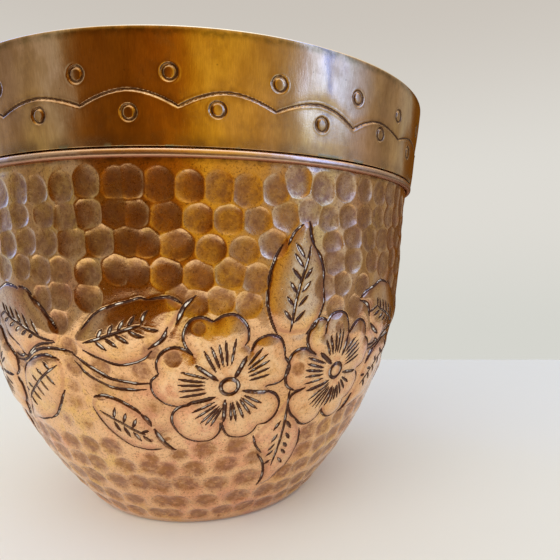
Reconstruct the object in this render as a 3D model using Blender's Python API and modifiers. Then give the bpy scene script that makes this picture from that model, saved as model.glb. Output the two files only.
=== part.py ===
"""Chased sheet-brass planter pot, built from turned sheet pieces.

Every piece is a surface of revolution about +Z.  The pot stands on z = 0 and
its axis is the Z axis.  Sheet pieces are drawn as the path of their visible
face in the (radius, height) half plane; the other face is that path offset by
the sheet's thickness, and a Screw modifier turns the closed section.
"""
import math

import bpy

# ---------------------------------------------------------------- dimensions
MM = 0.001

HEIGHT = 214.0 * MM            # table to the top of the folded rim
RIM_RADIUS = 130.0 * MM        # outside of the mouth
BAND_FOOT_RADIUS = 125.5 * MM  # outside of the band at its lower edge
BAND_FOOT_Z = 173.6 * MM       # lower edge of the band

WALL = 0.9 * MM                # raised sheet of the body
BAND_SHEET = 0.8 * MM          # rolled strip of the band
BASE_SHEET = 0.9 * MM          # flat disc of the base
FIT = 0.3 * MM                 # clearance kept between neighbouring pieces

NECK_RADIUS = 122.7 * MM       # outside of the body just under the bead
NECK_Z = 169.7 * MM
BELLY_RADIUS = 116.1 * MM      # outside of the body where its two curves meet
BELLY_Z = 98.6 * MM
FOOT_RADIUS = 68.6 * MM        # outside of the body at the foot's corner
FOOT_Z = 2.0 * MM
FLANGE_OUT = 64.5 * MM         # flat ring that the pot stands on
FLANGE_IN = 55.5 * MM

KICK = 1.5 * MM                # push-up of the base's middle
KICK_RADIUS = 51.0 * MM

HEM_WIDTH = 3.2 * MM           # outside width of the fold at the mouth
HEM_DEPTH = 8.5 * MM           # how far the fold comes down inside

BEAD_TOP = BAND_FOOT_Z - FIT
BEAD_HEIGHT = 3.4 * MM
BEAD_REACH = 125.6 * MM        # outermost radius of the half-round bead

SEAM_TOP = 180.0 * MM          # brazed lap between neck and band
SEAM_FOOT = 174.5 * MM

STEPS = 72                     # facets round the axis


# ------------------------------------------------------------ profile helpers
def cubic(p0, p1, p2, p3, count):
    """Points of a cubic curve, without its first one."""
    out = []
    for i in range(1, count + 1):
        t = i / count
        a, b, c, d = (1 - t) ** 3, 3 * (1 - t) ** 2 * t, 3 * (1 - t) * t * t, t ** 3
        out.append((a * p0[0] + b * p1[0] + c * p2[0] + d * p3[0],
                    a * p0[1] + b * p1[1] + c * p2[1] + d * p3[1]))
    return out


def quadratic(p0, p1, p2, count):
    """Points of a quadratic curve, without its first one."""
    out = []
    for i in range(1, count + 1):
        t = i / count
        a, b, c = (1 - t) ** 2, 2 * (1 - t) * t, t * t
        out.append((a * p0[0] + b * p1[0] + c * p2[0],
                    a * p0[1] + b * p1[1] + c * p2[1]))
    return out


def offset(path, distance):
    """The path moved sideways, to its right as it is walked, with mitred corners."""
    out = []
    for i, (r, z) in enumerate(path):
        normals = []
        for j in (i - 1, i):
            if 0 <= j < len(path) - 1:
                dr = path[j + 1][0] - path[j][0]
                dz = path[j + 1][1] - path[j][1]
                length = math.hypot(dr, dz)
                normals.append((dz / length, -dr / length))
        nr = sum(n[0] for n in normals) / len(normals)
        nz = sum(n[1] for n in normals) / len(normals)
        square = nr * nr + nz * nz
        out.append((r + nr * distance / square, z + nz * distance / square))
    return out


def sheet(path, thickness):
    """Closed section of a sheet whose visible face is path, walked clockwise."""
    return path + offset(path, thickness)[::-1]


def radius_at(path, z):
    """Radius of a path at a height, on its first span that crosses it."""
    for (r0, z0), (r1, z1) in zip(path, path[1:]):
        if min(z0, z1) <= z <= max(z0, z1) and z0 != z1:
            return r0 + (r1 - r0) * (z - z0) / (z1 - z0)
    raise ValueError("height is off the path")


# ------------------------------------------------------------------ profiles
def band_radius(z):
    """Outside of the band: a straight taper from the mouth to its lower edge."""
    top = HEIGHT - HEM_WIDTH / 2
    t = (z - BAND_FOOT_Z) / (top - BAND_FOOT_Z)
    return BAND_FOOT_RADIUS + (RIM_RADIUS - BAND_FOOT_RADIUS) * t


NECK_TOP_Z = HEIGHT - HEM_WIDTH / 2 - 0.1 * MM
NECK_TOP_RADIUS = RIM_RADIUS - BAND_SHEET - FIT - 0.05 * MM
NECK_FOOT = (123.0 * MM, 173.2 * MM)

# Outer face of the body, from the hidden neck down to the flange it stands on.
body_face = [(NECK_TOP_RADIUS, NECK_TOP_Z), NECK_FOOT, (NECK_RADIUS, NECK_Z)]
body_face += cubic((NECK_RADIUS, NECK_Z), (120.8 * MM, 151.4 * MM),
                   (118.5 * MM, 109.6 * MM), (BELLY_RADIUS, BELLY_Z), 5)
body_face += cubic((BELLY_RADIUS, BELLY_Z), (108.5 * MM, 65.2 * MM),
                   (95.8 * MM, 34.0 * MM), (FOOT_RADIUS, FOOT_Z), 8)
body_face += quadratic((FOOT_RADIUS, FOOT_Z), (67.2 * MM, 0.0),
                       (FLANGE_OUT, 0.0), 3)
body_face += [(FLANGE_IN, 0.0)]
body_section = sheet(body_face, WALL)
body_inside = offset(body_face, WALL)

# The band comes up outside, folds over the neck's edge and hangs inside it.
hem = HEM_WIDTH / 2
hem_z = HEIGHT - hem
lean = (NECK_TOP_RADIUS - NECK_FOOT[0]) / (NECK_TOP_Z - NECK_FOOT[1])
band_face = [(RIM_RADIUS - HEM_WIDTH - lean * HEM_DEPTH, hem_z - HEM_DEPTH),
             (RIM_RADIUS - HEM_WIDTH, hem_z)]
for i in range(1, 7):
    a = math.pi * (1 - i / 6)
    band_face.append((RIM_RADIUS - hem + hem * math.cos(a), hem_z + hem * math.sin(a)))
band_face += [(band_radius(z), z) for z in (HEIGHT - 12 * MM, HEIGHT - 25 * MM)]
band_face += [(BAND_FOOT_RADIUS, BAND_FOOT_Z)]
band_section = sheet(band_face, BAND_SHEET)

# Half-round bead: flat back against the neck, crown outwards.
bead_back = NECK_FOOT[0] + FIT
bead_foot = BEAD_TOP - BEAD_HEIGHT
bead_section = [(bead_back, BEAD_TOP)]
for i in range(0, 7):
    a = math.pi / 2 - math.pi * i / 6
    bead_section.append((
        bead_back + 1.0 * MM + (BEAD_REACH - bead_back - 1.0 * MM) * math.cos(a),
        BEAD_TOP - BEAD_HEIGHT / 2 + BEAD_HEIGHT / 2 * math.sin(a)))
bead_section.append((bead_back, bead_foot))

# Base disc lying on the flange, inside the body, its middle pushed up a little
# so that the pot stands on the flange alone.
disc_foot = WALL + FIT
disc_top = disc_foot + BASE_SHEET
disc_radius = 65.2 * MM
disc_section = [(0.0, disc_top + KICK), (KICK_RADIUS, disc_top + KICK),
                (KICK_RADIUS + 3.0 * MM, disc_top), (disc_radius, disc_top),
                (disc_radius, disc_foot), (KICK_RADIUS + 3.3 * MM, disc_foot),
                (KICK_RADIUS + 0.3 * MM, disc_foot + KICK), (0.0, disc_foot + KICK)]

# Fillet of brazing metal in the corner between the disc and the wall.
seam_low = disc_top + FIT
seam_high = disc_top + 3.0 * MM
low_r = radius_at(body_inside, seam_low) - 0.45 * MM
high_r = radius_at(body_inside, seam_high) - 0.45 * MM
base_seam_section = [(high_r, seam_high), (low_r, seam_low), (low_r - 4.2 * MM, seam_low),
                     (low_r - 1.2 * MM, seam_low + 0.7 * MM)]

# Layer of brazing metal in the lap between the neck and the band.
neck_face = body_face[:2]


def seam_point(z, outer):
    if outer:
        return (band_radius(z) - BAND_SHEET - FIT, z)
    return (radius_at(neck_face, z) + FIT, z)


band_seam_section = [seam_point(SEAM_TOP, True), seam_point(SEAM_FOOT, True),
                     seam_point(SEAM_FOOT, False), seam_point(SEAM_TOP, False)]


# ------------------------------------------------------------------ materials
def metal(name, colour, roughness):
    mat = bpy.data.materials.new(name)
    mat.use_nodes = True
    shader = mat.node_tree.nodes["Principled BSDF"]
    shader.inputs["Base Color"].default_value = (*colour, 1.0)
    shader.inputs["Metallic"].default_value = 1.0
    shader.inputs["Roughness"].default_value = roughness
    return mat


# ------------------------------------------------------------------ modelling
for old in list(bpy.data.objects):
    bpy.data.objects.remove(old, do_unlink=True)

collection = bpy.data.collections.new("planter_pot")
bpy.context.scene.collection.children.link(collection)

pot_axis = bpy.data.objects.new("pot_axis", None)
pot_axis.empty_display_size = 0.05
collection.objects.link(pot_axis)


def turned(name, section, closed, material):
    """Turn a section about Z.  The section is walked down its outer side."""
    mesh = bpy.data.meshes.new(name)
    verts = [(r, 0.0, z) for r, z in section]
    edges = [(i, i + 1) for i in range(len(section) - 1)]
    if closed:
        edges.append((len(section) - 1, 0))
    mesh.from_pydata(verts, edges, [])
    mesh.materials.append(material)
    obj = bpy.data.objects.new(name, mesh)
    obj.parent = pot_axis
    collection.objects.link(obj)
    screw = obj.modifiers.new("turn", "SCREW")
    screw.axis = "Z"
    screw.angle = 2 * math.pi
    screw.steps = STEPS
    screw.render_steps = STEPS
    screw.use_merge_vertices = True
    screw.merge_threshold = 0.00001
    screw.use_smooth_shade = True
    return obj


turned("body_wall", body_section, True, metal("hammered_brass", (0.42, 0.22, 0.095), 0.33))
turned("rim_band", band_section, True, metal("band_brass", (0.40, 0.20, 0.085), 0.28))
turned("lip_bead", bead_section, True, metal("bead_brass", (0.55, 0.28, 0.15), 0.35))
turned("base_disc", disc_section, False, metal("base_brass", (0.30, 0.17, 0.08), 0.45))
seam_metal = metal("seam_brass", (0.33, 0.22, 0.10), 0.5)
turned("base_braze_seam", base_seam_section, True, seam_metal)
turned("band_braze_seam", band_seam_section, True, seam_metal)
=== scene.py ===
"""Looks of the chased brass planter pot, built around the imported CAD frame.

The pot's sheet pieces are rebuilt here as fine closed meshes.  Each one is the
CAD's turned profile with worked relief on it: hammer marks, a frieze of domed
flowers and leaves cut with a chasing tool, and a band with scallops and ring
punches.  Angles are in degrees from -Y towards +X, and lengths in this part of
the script are in millimetres until a mesh is made.
"""
import math

import bpy
import numpy as np
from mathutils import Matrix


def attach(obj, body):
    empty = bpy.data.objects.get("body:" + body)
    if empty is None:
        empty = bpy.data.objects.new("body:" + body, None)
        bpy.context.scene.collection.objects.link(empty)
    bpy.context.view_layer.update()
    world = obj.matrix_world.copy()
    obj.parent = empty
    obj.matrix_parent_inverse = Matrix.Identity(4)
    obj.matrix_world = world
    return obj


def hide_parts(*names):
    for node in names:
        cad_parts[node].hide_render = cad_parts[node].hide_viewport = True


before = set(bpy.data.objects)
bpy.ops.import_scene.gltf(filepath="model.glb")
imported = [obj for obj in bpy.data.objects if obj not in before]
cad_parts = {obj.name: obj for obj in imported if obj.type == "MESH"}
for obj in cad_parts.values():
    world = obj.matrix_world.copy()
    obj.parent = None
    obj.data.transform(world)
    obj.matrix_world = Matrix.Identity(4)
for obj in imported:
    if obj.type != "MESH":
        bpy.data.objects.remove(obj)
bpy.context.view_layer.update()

MM = 0.001
TAU = 2 * math.pi
DEG = math.pi / 180
rng = np.random.default_rng(20)

# BEGIN RELIEF
# ------------------------------------------------------------- the profile
HEIGHT, RIM_R = 214.0, 130.0
BAND_Z, BAND_R = 173.6, 125.5
WALL, STRIP = 0.9, 0.8
HEM, HEM_DEPTH = 3.2, 8.5


def cubic(p0, p1, p2, p3, n):
    t = np.linspace(0, 1, n)[1:, None]
    p0, p1, p2, p3 = (np.array(p, float) for p in (p0, p1, p2, p3))
    return (1 - t) ** 3 * p0 + 3 * (1 - t) ** 2 * t * p1 + 3 * (1 - t) * t * t * p2 + t ** 3 * p3


def quadratic(p0, p1, p2, n):
    t = np.linspace(0, 1, n)[1:, None]
    p0, p1, p2 = (np.array(p, float) for p in (p0, p1, p2))
    return (1 - t) ** 2 * p0 + 2 * (1 - t) * t * p1 + t * t * p2


def resample(path, stations):
    """Points of a polyline at given distances along it."""
    step = np.hypot(*np.diff(path, axis=0).T)
    run = np.concatenate([[0], np.cumsum(step)])
    return np.stack([np.interp(stations, run, path[:, 0]), np.interp(stations, run, path[:, 1])], 1)


def length(path):
    return float(np.hypot(*np.diff(path, axis=0).T).sum())


NECK_TOP = (RIM_R - STRIP - 0.35, HEIGHT - HEM / 2 - 0.1)
NECK_FOOT = (123.0, 173.2)
shoulder = cubic((122.7, 169.7), (120.8, 151.4), (118.5, 109.6), (116.1, 98.6), 400)
hip = cubic((116.1, 98.6), (108.5, 65.2), (95.8, 34.0), (68.6, 2.0), 400)
corner = quadratic((68.6, 2.0), (67.2, 0.0), (64.5, 0.0), 30)
face = np.concatenate([[(122.7, 169.7)], shoulder, hip])
FACE_LEN = length(face)
S_FOOT, S_TOP = 2.5, 2.5 + FACE_LEN        # distance up the wall, from the table


# ------------------------------------------------------------- small helpers
def smooth(x):
    x = np.clip(x, 0, 1)
    return x * x * (3 - 2 * x)


def catmull(pts, per=6):
    """A smooth curve through the points."""
    p = np.array(pts, float)
    if len(p) < 3:
        t = np.linspace(0, 1, per + 1)[:, None]
        return p[0] * (1 - t) + p[-1] * t
    q = np.concatenate([[2 * p[0] - p[1]], p, [2 * p[-1] - p[-2]]])
    out = [p[0]]
    for i in range(1, len(q) - 2):
        for j in range(1, per + 1):
            t = j / per
            out.append(0.5 * (2 * q[i] + (q[i + 1] - q[i - 1]) * t
                              + (2 * q[i - 1] - 5 * q[i] + 4 * q[i + 1] - q[i + 2]) * t * t
                              + (3 * q[i] - q[i - 1] - 3 * q[i + 1] + q[i + 2]) * t ** 3))
    return np.array(out)


class Relief:
    """Height above the turned face on a grid of angle and distance up the wall."""

    def __init__(self, columns, rows, radius):
        self.n, self.s = columns, np.asarray(rows, float)      # s rises with the index
        self.r = np.asarray(radius, float)
        shape = (len(self.s), columns)
        self.groove = np.zeros(shape, np.float32)   # cut depth
        self.core = np.zeros(shape, np.float32)     # 1 along the middle of a cut, 0 at its edges
        self.lip = np.zeros(shape, np.float32)      # metal thrown up beside a cut
        self.dish = np.zeros(shape, np.float32)     # hammer marks, negative
        self.inside = np.zeros(shape, np.float32)   # 1 in the middle of a hammer mark
        self.dome = np.zeros(shape, np.float32)     # raised petals and leaves
        self.sunk = np.zeros(shape, np.float32)     # ground beaten down beside them
        self.cell = 360.0 / columns

    def window(self, a0, a1, s0, s1):
        """Row indices, column indices and the grid's angle and height there."""
        i0, i1 = np.searchsorted(self.s, [s0, s1])
        j0, j1 = math.floor(a0 / self.cell), math.ceil(a1 / self.cell)
        i, j = np.arange(i0, i1), np.arange(j0, j1 + 1)
        return i, j % self.n, j * self.cell

    def radius_at(self, s):
        return float(np.interp(s, self.s, self.r))

    def cut(self, pts, width, depth, taper=0.18, step=2.0, lip=0.10, curve=True, end=0.45):
        """A chased line through points (angle, s): width and depth are of the groove."""
        p = catmull(pts) if curve else np.array(pts, float)
        r = self.radius_at(float(p[:, 1].mean()))
        k = r * DEG
        x, y = p[:, 0] * k, p[:, 1]
        seg = np.hypot(np.diff(x), np.diff(y))
        total = max(seg.sum(), 1e-6)
        run = np.concatenate([[0], np.cumsum(seg)])
        phase = rng.uniform(0, 1)
        wob = rng.uniform(0.9, 1.1)
        for a in range(len(seg)):
            if seg[a] < 1e-6:
                continue
            m = width * 1.3
            i, j, ang = self.window(min(p[a, 0], p[a + 1, 0]) - m / k, max(p[a, 0], p[a + 1, 0]) + m / k,
                                    min(y[a], y[a + 1]) - m, max(y[a], y[a + 1]) + m)
            if not len(i):
                continue
            gx, gy = np.meshgrid(ang * k, self.s[i])
            dx, dy = x[a + 1] - x[a], y[a + 1] - y[a]
            t = np.clip(((gx - x[a]) * dx + (gy - y[a]) * dy) / (dx * dx + dy * dy), 0, 1)
            d = np.hypot(gx - x[a] - t * dx, gy - y[a] - t * dy)
            along = run[a] + t * seg[a]
            f = np.minimum(along, total - along) / total
            ease = end + (1 - end) * smooth(f / max(taper, 1e-3))
            w = 0.5 * width * wob * ease
            tool = 0.76 + 0.24 * np.abs(np.sin(math.pi * (along / step + phase)))
            g = depth * ease * tool * np.clip(1 - (d / w) ** 2.6, 0, 1) ** 1.3
            u = lip * ease * np.exp(-((d - 1.25 * w) / (0.45 * w)) ** 2)
            ij = np.ix_(i, j)
            self.groove[ij] = np.maximum(self.groove[ij], g)
            self.core[ij] = np.maximum(self.core[ij], ease * np.clip(1 - d / w, 0, 1))
            self.lip[ij] = np.maximum(self.lip[ij], u)

    def ring(self, ang, s, radius, width, depth, dome=0.12, tilt=0.0):
        """A ring punch."""
        k = self.radius_at(s) * DEG
        m = radius + width * 1.5
        i, j, a = self.window(ang - m / k, ang + m / k, s - m, s + m)
        gx, gy = np.meshgrid((a - ang) * k, self.s[i] - s)
        d = np.hypot(gx, gy)
        way = np.arctan2(gy, gx)
        deep = depth * (1 + tilt * np.cos(way - 2.4))
        w = width / 2
        ij = np.ix_(i, j)
        self.groove[ij] = np.maximum(self.groove[ij], deep * np.clip(1 - ((d - radius) / w) ** 2, 0, 1) ** 1.3)
        self.core[ij] = np.maximum(self.core[ij], np.clip(1 - np.abs(d - radius) / w, 0, 1))
        self.lip[ij] = np.maximum(self.lip[ij], 0.10 * np.exp(-((d - radius - 1.4 * w) / (0.5 * w)) ** 2))
        self.dome[ij] += dome * np.clip(1 - (d / radius) ** 2, 0, 1)

    def hammer(self, ang, s, rx, ry, depth, power=3.0, soft_top=0.0, skin=1.0):
        """One mark of a round-faced hammer."""
        k = self.radius_at(s) * DEG
        i, j, a = self.window(ang - rx * 1.15 / k, ang + rx * 1.15 / k, s - ry * 1.15, s + ry * 1.15 + soft_top * ry)
        if not len(i):
            return
        gx, gy = np.meshgrid((a - ang) * k, self.s[i] - s)
        gy = np.where(gy > 0, gy / (1 + soft_top), gy)
        tx, ty = rng.normal(0, 0.05, 2)
        q = np.hypot(gx / rx, gy / ry) * (1 + tx * gx / rx + ty * gy / ry)
        h = -depth * np.clip(1 - q ** power, 0, None)
        ij = np.ix_(i, j)
        self.dish[ij] = np.minimum(self.dish[ij], h)
        self.inside[ij] = np.maximum(self.inside[ij], skin * np.clip(1.15 - q, 0, 1))

    def raise_shape(self, outline, height, edge, sink=0.0, sink_width=3.0):
        """Domes the inside of a closed outline, and sinks the ground just outside."""
        p = np.array(outline, float)
        s0, s1 = p[:, 1].min(), p[:, 1].max()
        k = self.radius_at((s0 + s1) / 2) * DEG
        m = sink_width * 2
        i, j, a = self.window(p[:, 0].min() - m / k, p[:, 0].max() + m / k, s0 - m, s1 + m)
        gx, gy = np.meshgrid(a * k, self.s[i])
        gx, gy = gx.astype(np.float32), gy.astype(np.float32)
        x, y = (p[:, 0] * k).astype(np.float32), p[:, 1].astype(np.float32)
        best = np.full(gx.shape, 1e9, np.float32)
        within = np.zeros(gx.shape, bool)
        for q in range(len(x)):
            x0, y0, x1, y1 = x[q], y[q], x[(q + 1) % len(x)], y[(q + 1) % len(x)]
            dx, dy = x1 - x0, y1 - y0
            l2 = dx * dx + dy * dy
            if l2 < 1e-9:
                continue
            t = np.clip(((gx - x0) * dx + (gy - y0) * dy) / l2, 0, 1)
            best = np.minimum(best, (gx - x0 - t * dx) ** 2 + (gy - y0 - t * dy) ** 2)
            if y0 != y1:
                cross = ((gy >= min(y0, y1)) & (gy < max(y0, y1)))
                within ^= cross & (gx < x0 + (gy - y0) / (y1 - y0) * dx)
        d = np.sqrt(best)
        up = height * (0.62 * (1 - np.clip(1 - d / edge, 0, 1) ** 2) + 0.55 * smooth(d / (1.9 * edge))) * within
        down = -sink * np.exp(-(d / sink_width) ** 2) * ~within
        ij = np.ix_(i, j)
        self.dome[ij] = np.maximum(self.dome[ij], up)
        self.sunk[ij] = np.minimum(self.sunk[ij], down)

    def height(self):
        """All of the relief together."""
        ground = np.where(self.dome > 0, 0, self.sunk)
        return self.dish + self.dome + ground - self.groove + self.lip

    def facing(self):
        """How far a cut's flank faces up and towards the left, 0 to 1; 0.5 off the cuts."""
        across = (np.roll(self.groove, -1, axis=1) - np.roll(self.groove, 1, axis=1)) / (2 * self.cell * DEG * self.r[:, None])
        up = np.gradient(self.groove, self.s, axis=0)
        return (0.5 + 0.5 * np.clip((0.55 * across + 0.83 * up) / 0.8, -1, 1)).astype(np.float32)

    def tilt(self):
        """0.5 on level metal, 1 where a hammer mark's side faces down, 0 where it faces up."""
        return (0.5 + 0.5 * np.clip(np.gradient(self.dish, self.s, axis=0) / 0.35, -1, 1)).astype(np.float32)

    def undulate(self, amp, waves, seed):
        """Slow unevenness of hand-worked sheet."""
        g = np.random.default_rng(seed)
        ang = np.arange(self.n) * TAU / self.n
        out = np.zeros((len(self.s), self.n), np.float32)
        for _ in range(waves):
            n = g.integers(3, 34)
            lam = g.uniform(28, 110)
            ph, ph2 = g.uniform(0, TAU, 2)
            out += (g.normal() * np.sin(n * ang + ph)[None] * np.sin(TAU * self.s / lam + ph2)[:, None]).astype(np.float32)
        return amp * out / math.sqrt(waves)


def px(pts):
    """Points read off an unrolled view of the photograph, to (angle, distance up the wall)."""
    return [(x / 16.0 - 14.0, 182.2 - y / 7.0) for x, y in pts]


# --------------------------------------------------- the frieze's two flowers
# Each flower is a list of lobe curves, walked clockwise, and its strokes.
FLOWER_A = {
    "centre": (4.85, 94.1),
    "lobes": [
        [(-2.4, 108), (-3.8, 112), (-4.1, 117), (-2.8, 122), (-0.6, 123.3), (1.6, 121.5)],
        [(1.6, 121.5), (3.8, 123.9), (6.3, 123.6), (8.2, 119), (8.5, 114), (7.9, 111.5)],
        [(9.1, 108.6), (10.1, 112.9), (12.6, 115), (15.1, 113.6), (16.3, 108.6), (16.6, 105)],
        [(16.6, 105), (17.7, 101.5), (17.5, 96.5), (16, 93), (12.9, 92.2)],
        [(13.5, 89.8), (15.7, 87), (16.8, 82), (16, 76.5), (14.1, 73), (12.1, 72.5)],
        [(12.1, 72.5), (10.7, 68.6), (7.9, 67.2), (5.1, 68.6), (3.8, 73), (3.6, 76)],
        [(3.2, 75.8), (3, 70.8), (1, 66.8), (-2.1, 66.5), (-4.6, 68.6), (-6.2, 71.5)],
        [(-6.2, 71.5), (-7.4, 76.5), (-7.1, 81.5), (-5.3, 85), (-3.1, 85.8)],
        [(-5.9, 84.8), (-8.7, 86.5), (-10.8, 90.8), (-11, 96.5), (-9.3, 100)],
        [(-9.3, 100), (-9.6, 104.3), (-8.4, 109.3), (-5.9, 111.5), (-3.7, 110), (-2.4, 108)],
    ],
    "thick": [px(q) for q in (
        [(355, 528), (334, 562), (318, 590)], [(195, 548), (262, 598)], [(165, 672), (255, 648)],
        [(287, 660), (286, 740)], [(345, 632), (440, 650)])],
    "thin": [px(q) for q in (
        [(222, 508), (258, 570)], [(243, 493), (270, 560)], [(265, 483), (280, 555)], [(287, 475), (292, 552)],
        [(318, 475), (305, 552)],
        [(404, 506), (360, 556)], [(420, 524), (363, 567)], [(430, 544), (362, 577)], [(433, 566), (362, 588)],
        [(436, 588), (366, 600)],
        [(352, 650), (415, 680)], [(345, 657), (400, 698)], [(336, 662), (378, 715)], [(326, 666), (354, 728)],
        [(315, 668), (331, 737)], [(306, 670), (313, 736)],
        [(255, 666), (178, 698)], [(261, 674), (190, 718)], [(267, 680), (205, 733)], [(272, 684), (221, 744)],
        [(278, 686), (240, 750)],
        [(232, 588), (150, 565)], [(223, 599), (140, 585)], [(222, 609), (138, 605)], [(222, 620), (140, 624)],
        [(226, 633), (142, 645)])],
}
FLOWER_B = {
    "centre": (30.7, 95.4),
    "lobes": [px(q) for q in (
        [(612, 545), (582, 525), (570, 490), (585, 447), (618, 431), (650, 442)],
        [(643, 482), (650, 440), (690, 418), (733, 425), (757, 460), (762, 502)],
        [(765, 490), (790, 460), (820, 450), (855, 465), (870, 490), (875, 515)],
        [(875, 515), (905, 535), (918, 570), (905, 610), (870, 630)],
        [(870, 640), (890, 665), (885, 700), (865, 725), (835, 740)],
        [(835, 740), (828, 775), (795, 797), (755, 795), (720, 775), (707, 755)],
        [(707, 755), (690, 785), (650, 803), (610, 795), (575, 765)],
        [(575, 765), (545, 740), (528, 700), (545, 670), (590, 655)],
        [(545, 660), (512, 640), (500, 600), (505, 562)],
        [(505, 562), (520, 532), (560, 520), (600, 540)])],
    "thick": [px(q) for q in (
        [(630, 540), (687, 582)], [(760, 495), (735, 560)], [(762, 620), (850, 632)], [(600, 665), (690, 640)],
        [(718, 665), (712, 740)])],
    "thin": [px(q) for q in (
        [(648, 500), (672, 550)], [(666, 488), (683, 548)], [(688, 480), (695, 546)], [(704, 471), (706, 546)],
        [(724, 470), (717, 547)],
        [(800, 508), (754, 547)], [(814, 518), (757, 560)], [(826, 530), (760, 573)], [(833, 547), (764, 584)],
        [(837, 570), (767, 594)],
        [(764, 640), (818, 668)], [(759, 649), (802, 690)], [(752, 656), (786, 705)], [(744, 662), (768, 716)],
        [(736, 667), (751, 722)], [(728, 670), (735, 730)],
        [(690, 648), (612, 698)], [(694, 655), (625, 715)], [(698, 661), (641, 727)], [(702, 666), (661, 737)],
        [(708, 668), (686, 742)],
        [(656, 576), (578, 550)], [(651, 589), (574, 569)], [(650, 601), (572, 590)], [(651, 614), (575, 613)],
        [(656, 627), (581, 640)])],
}

# --------------------------------------------------------- its four leaf kinds
LEAF_UP = {
    "outline": [(17.5, 114.5), (14.2, 116.5), (12.6, 121), (12, 128), (12.3, 136), (13.4, 144.5), (15.2, 152),
                (17.3, 157), (20.3, 160.8), (21.2, 155), (22.4, 150), (24, 144), (24.9, 137), (24.9, 130),
                (23.6, 121), (21.2, 115)],
    "edges": [px(q) for q in (
        [(454, 470), (432, 432), (417, 382), (417, 330)], [(417, 335), (424, 290), (440, 250), (464, 214)],
        [(478, 216), (500, 180), (530, 156)], [(622, 330), (624, 380), (604, 436)],
        [(607, 428), (590, 455), (562, 476)])],
    "bold": [px(q) for q in (
        [(556, 148), (560, 185), (578, 222)], [(578, 218), (604, 254), (619, 300), (622, 336)])],
    "rib": [px([(498, 464), (506, 400), (522, 330), (546, 262), (558, 216)])],
    "veins": [px(q) for q in (
        [(470, 398), (496, 430)], [(478, 360), (503, 388)], [(487, 318), (513, 352)], [(493, 280), (526, 316)],
        [(499, 238), (533, 278)], [(506, 210), (538, 252)],
        [(545, 405), (509, 436)], [(554, 358), (521, 390)], [(561, 318), (530, 348)], [(566, 280), (540, 312)])],
}
LEAF_DOWN = {
    "outline": [(18.9, 86), (16.5, 78), (11.5, 66), (12.5, 60), (14.7, 54), (16, 48), (16.6, 40), (16, 31.5),
                (19.5, 32.5), (22.6, 38), (24.8, 46), (25.6, 55), (24.6, 65), (20.5, 76)],
    "edges": [px(q) for q in (
        [(408, 813), (422, 850), (454, 888)], [(438, 893), (470, 932), (486, 975), (490, 1020), (478, 1057)],
        [(634, 880), (624, 935), (590, 996), (548, 1038), (510, 1055)])],
    "bold": [px([(616, 818), (630, 858), (633, 905)])],
    "rib": [px([(529, 652), (527, 740), (524, 830), (514, 952)])],
    "veins": [px(q) for q in (
        [(510, 762), (486, 795)], [(506, 812), (487, 840)], [(502, 850), (481, 877)], [(501, 878), (480, 905)],
        [(500, 924), (484, 944)],
        [(535, 766), (562, 797)], [(545, 813), (569, 841)], [(543, 853), (568, 875)], [(542, 880), (569, 906)],
        [(537, 918), (571, 952)])],
}
# The sprig between one pair of flowers and the next: each side has an upper
# leaf, a lower leaf and a double stem that comes from the nearest flower.
SPRIG_RIGHT = {
    "leaves": [{
        "outline": px([(812, 383), (850, 357), (900, 343), (950, 329), (1005, 334), (1060, 341), (1100, 372),
                       (1150, 412), (1184, 455), (1168, 490), (1100, 500), (1040, 523), (1003, 546), (965, 522),
                       (925, 490), (895, 455), (868, 412), (840, 394)]),
        "edges": [px(q) for q in (
            [(812, 380), (850, 356), (900, 343), (950, 328), (1000, 333), (1022, 339)],
            [(1028, 332), (1062, 341), (1084, 356)], [(1076, 357), (1104, 380), (1150, 415), (1180, 452)],
            [(975, 534), (1003, 547), (1036, 540)], [(1002, 550), (1050, 521), (1100, 500), (1165, 492)])],
        "bold": [px(q) for q in ([(812, 387), (842, 396), (866, 411), (886, 446)], [(903, 472), (926, 489), (976, 516)])],
        "rib": [px(q) for q in ([(880, 430), (905, 421), (932, 412)],
                                [(932, 412), (960, 425), (1010, 441), (1060, 458), (1110, 478), (1165, 488)])],
        "veins": [px(q) for q in (
            [(922, 385), (934, 410)], [(945, 390), (962, 422)], [(972, 394), (992, 432)], [(1003, 400), (1026, 444)],
            [(1040, 412), (1066, 458)], [(1080, 426), (1106, 474)],
            [(912, 443), (950, 431)], [(950, 456), (985, 441)], [(982, 467), (1014, 452)], [(1018, 475), (1048, 462)],
            [(1052, 484), (1078, 472)])],
    }, {
        "outline": px([(840, 800), (868, 764), (897, 732), (912, 690), (922, 650), (938, 618), (962, 589), (990, 572),
                       (1050, 546), (1110, 533), (1160, 541), (1178, 575), (1160, 640), (1110, 702), (1060, 746),
                       (1010, 766), (950, 778), (900, 787)]),
        "edges": [px(q) for q in (
            [(994, 570), (1050, 546), (1110, 533), (1158, 541)], [(897, 787), (950, 778), (1012, 765)],
            [(1005, 770), (1060, 746), (1110, 702), (1158, 644)])],
        "bold": [px(q) for q in ([(840, 800), (868, 765), (897, 733)], [(938, 622), (960, 591), (988, 573)])],
        "rib": [px([(935, 702), (965, 676), (1000, 652), (1050, 620), (1100, 590), (1155, 562)])],
        "veins": [px(q) for q in (
            [(924, 664), (950, 668)], [(962, 640), (992, 650)], [(1010, 608), (1036, 625)], [(1052, 580), (1080, 598)],
            [(1096, 554), (1122, 576)],
            [(952, 684), (978, 716)], [(985, 664), (1012, 694)], [(1020, 640), (1048, 674)], [(1058, 616), (1088, 650)],
            [(1098, 594), (1126, 626)])],
    }],
    "stem": [px(q) for q in ([(918, 549), (952, 553), (986, 545)],
                             [(922, 568), (962, 567), (1003, 554), (1050, 529), (1110, 513), (1180, 511), (1229, 520)])],
}
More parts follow.
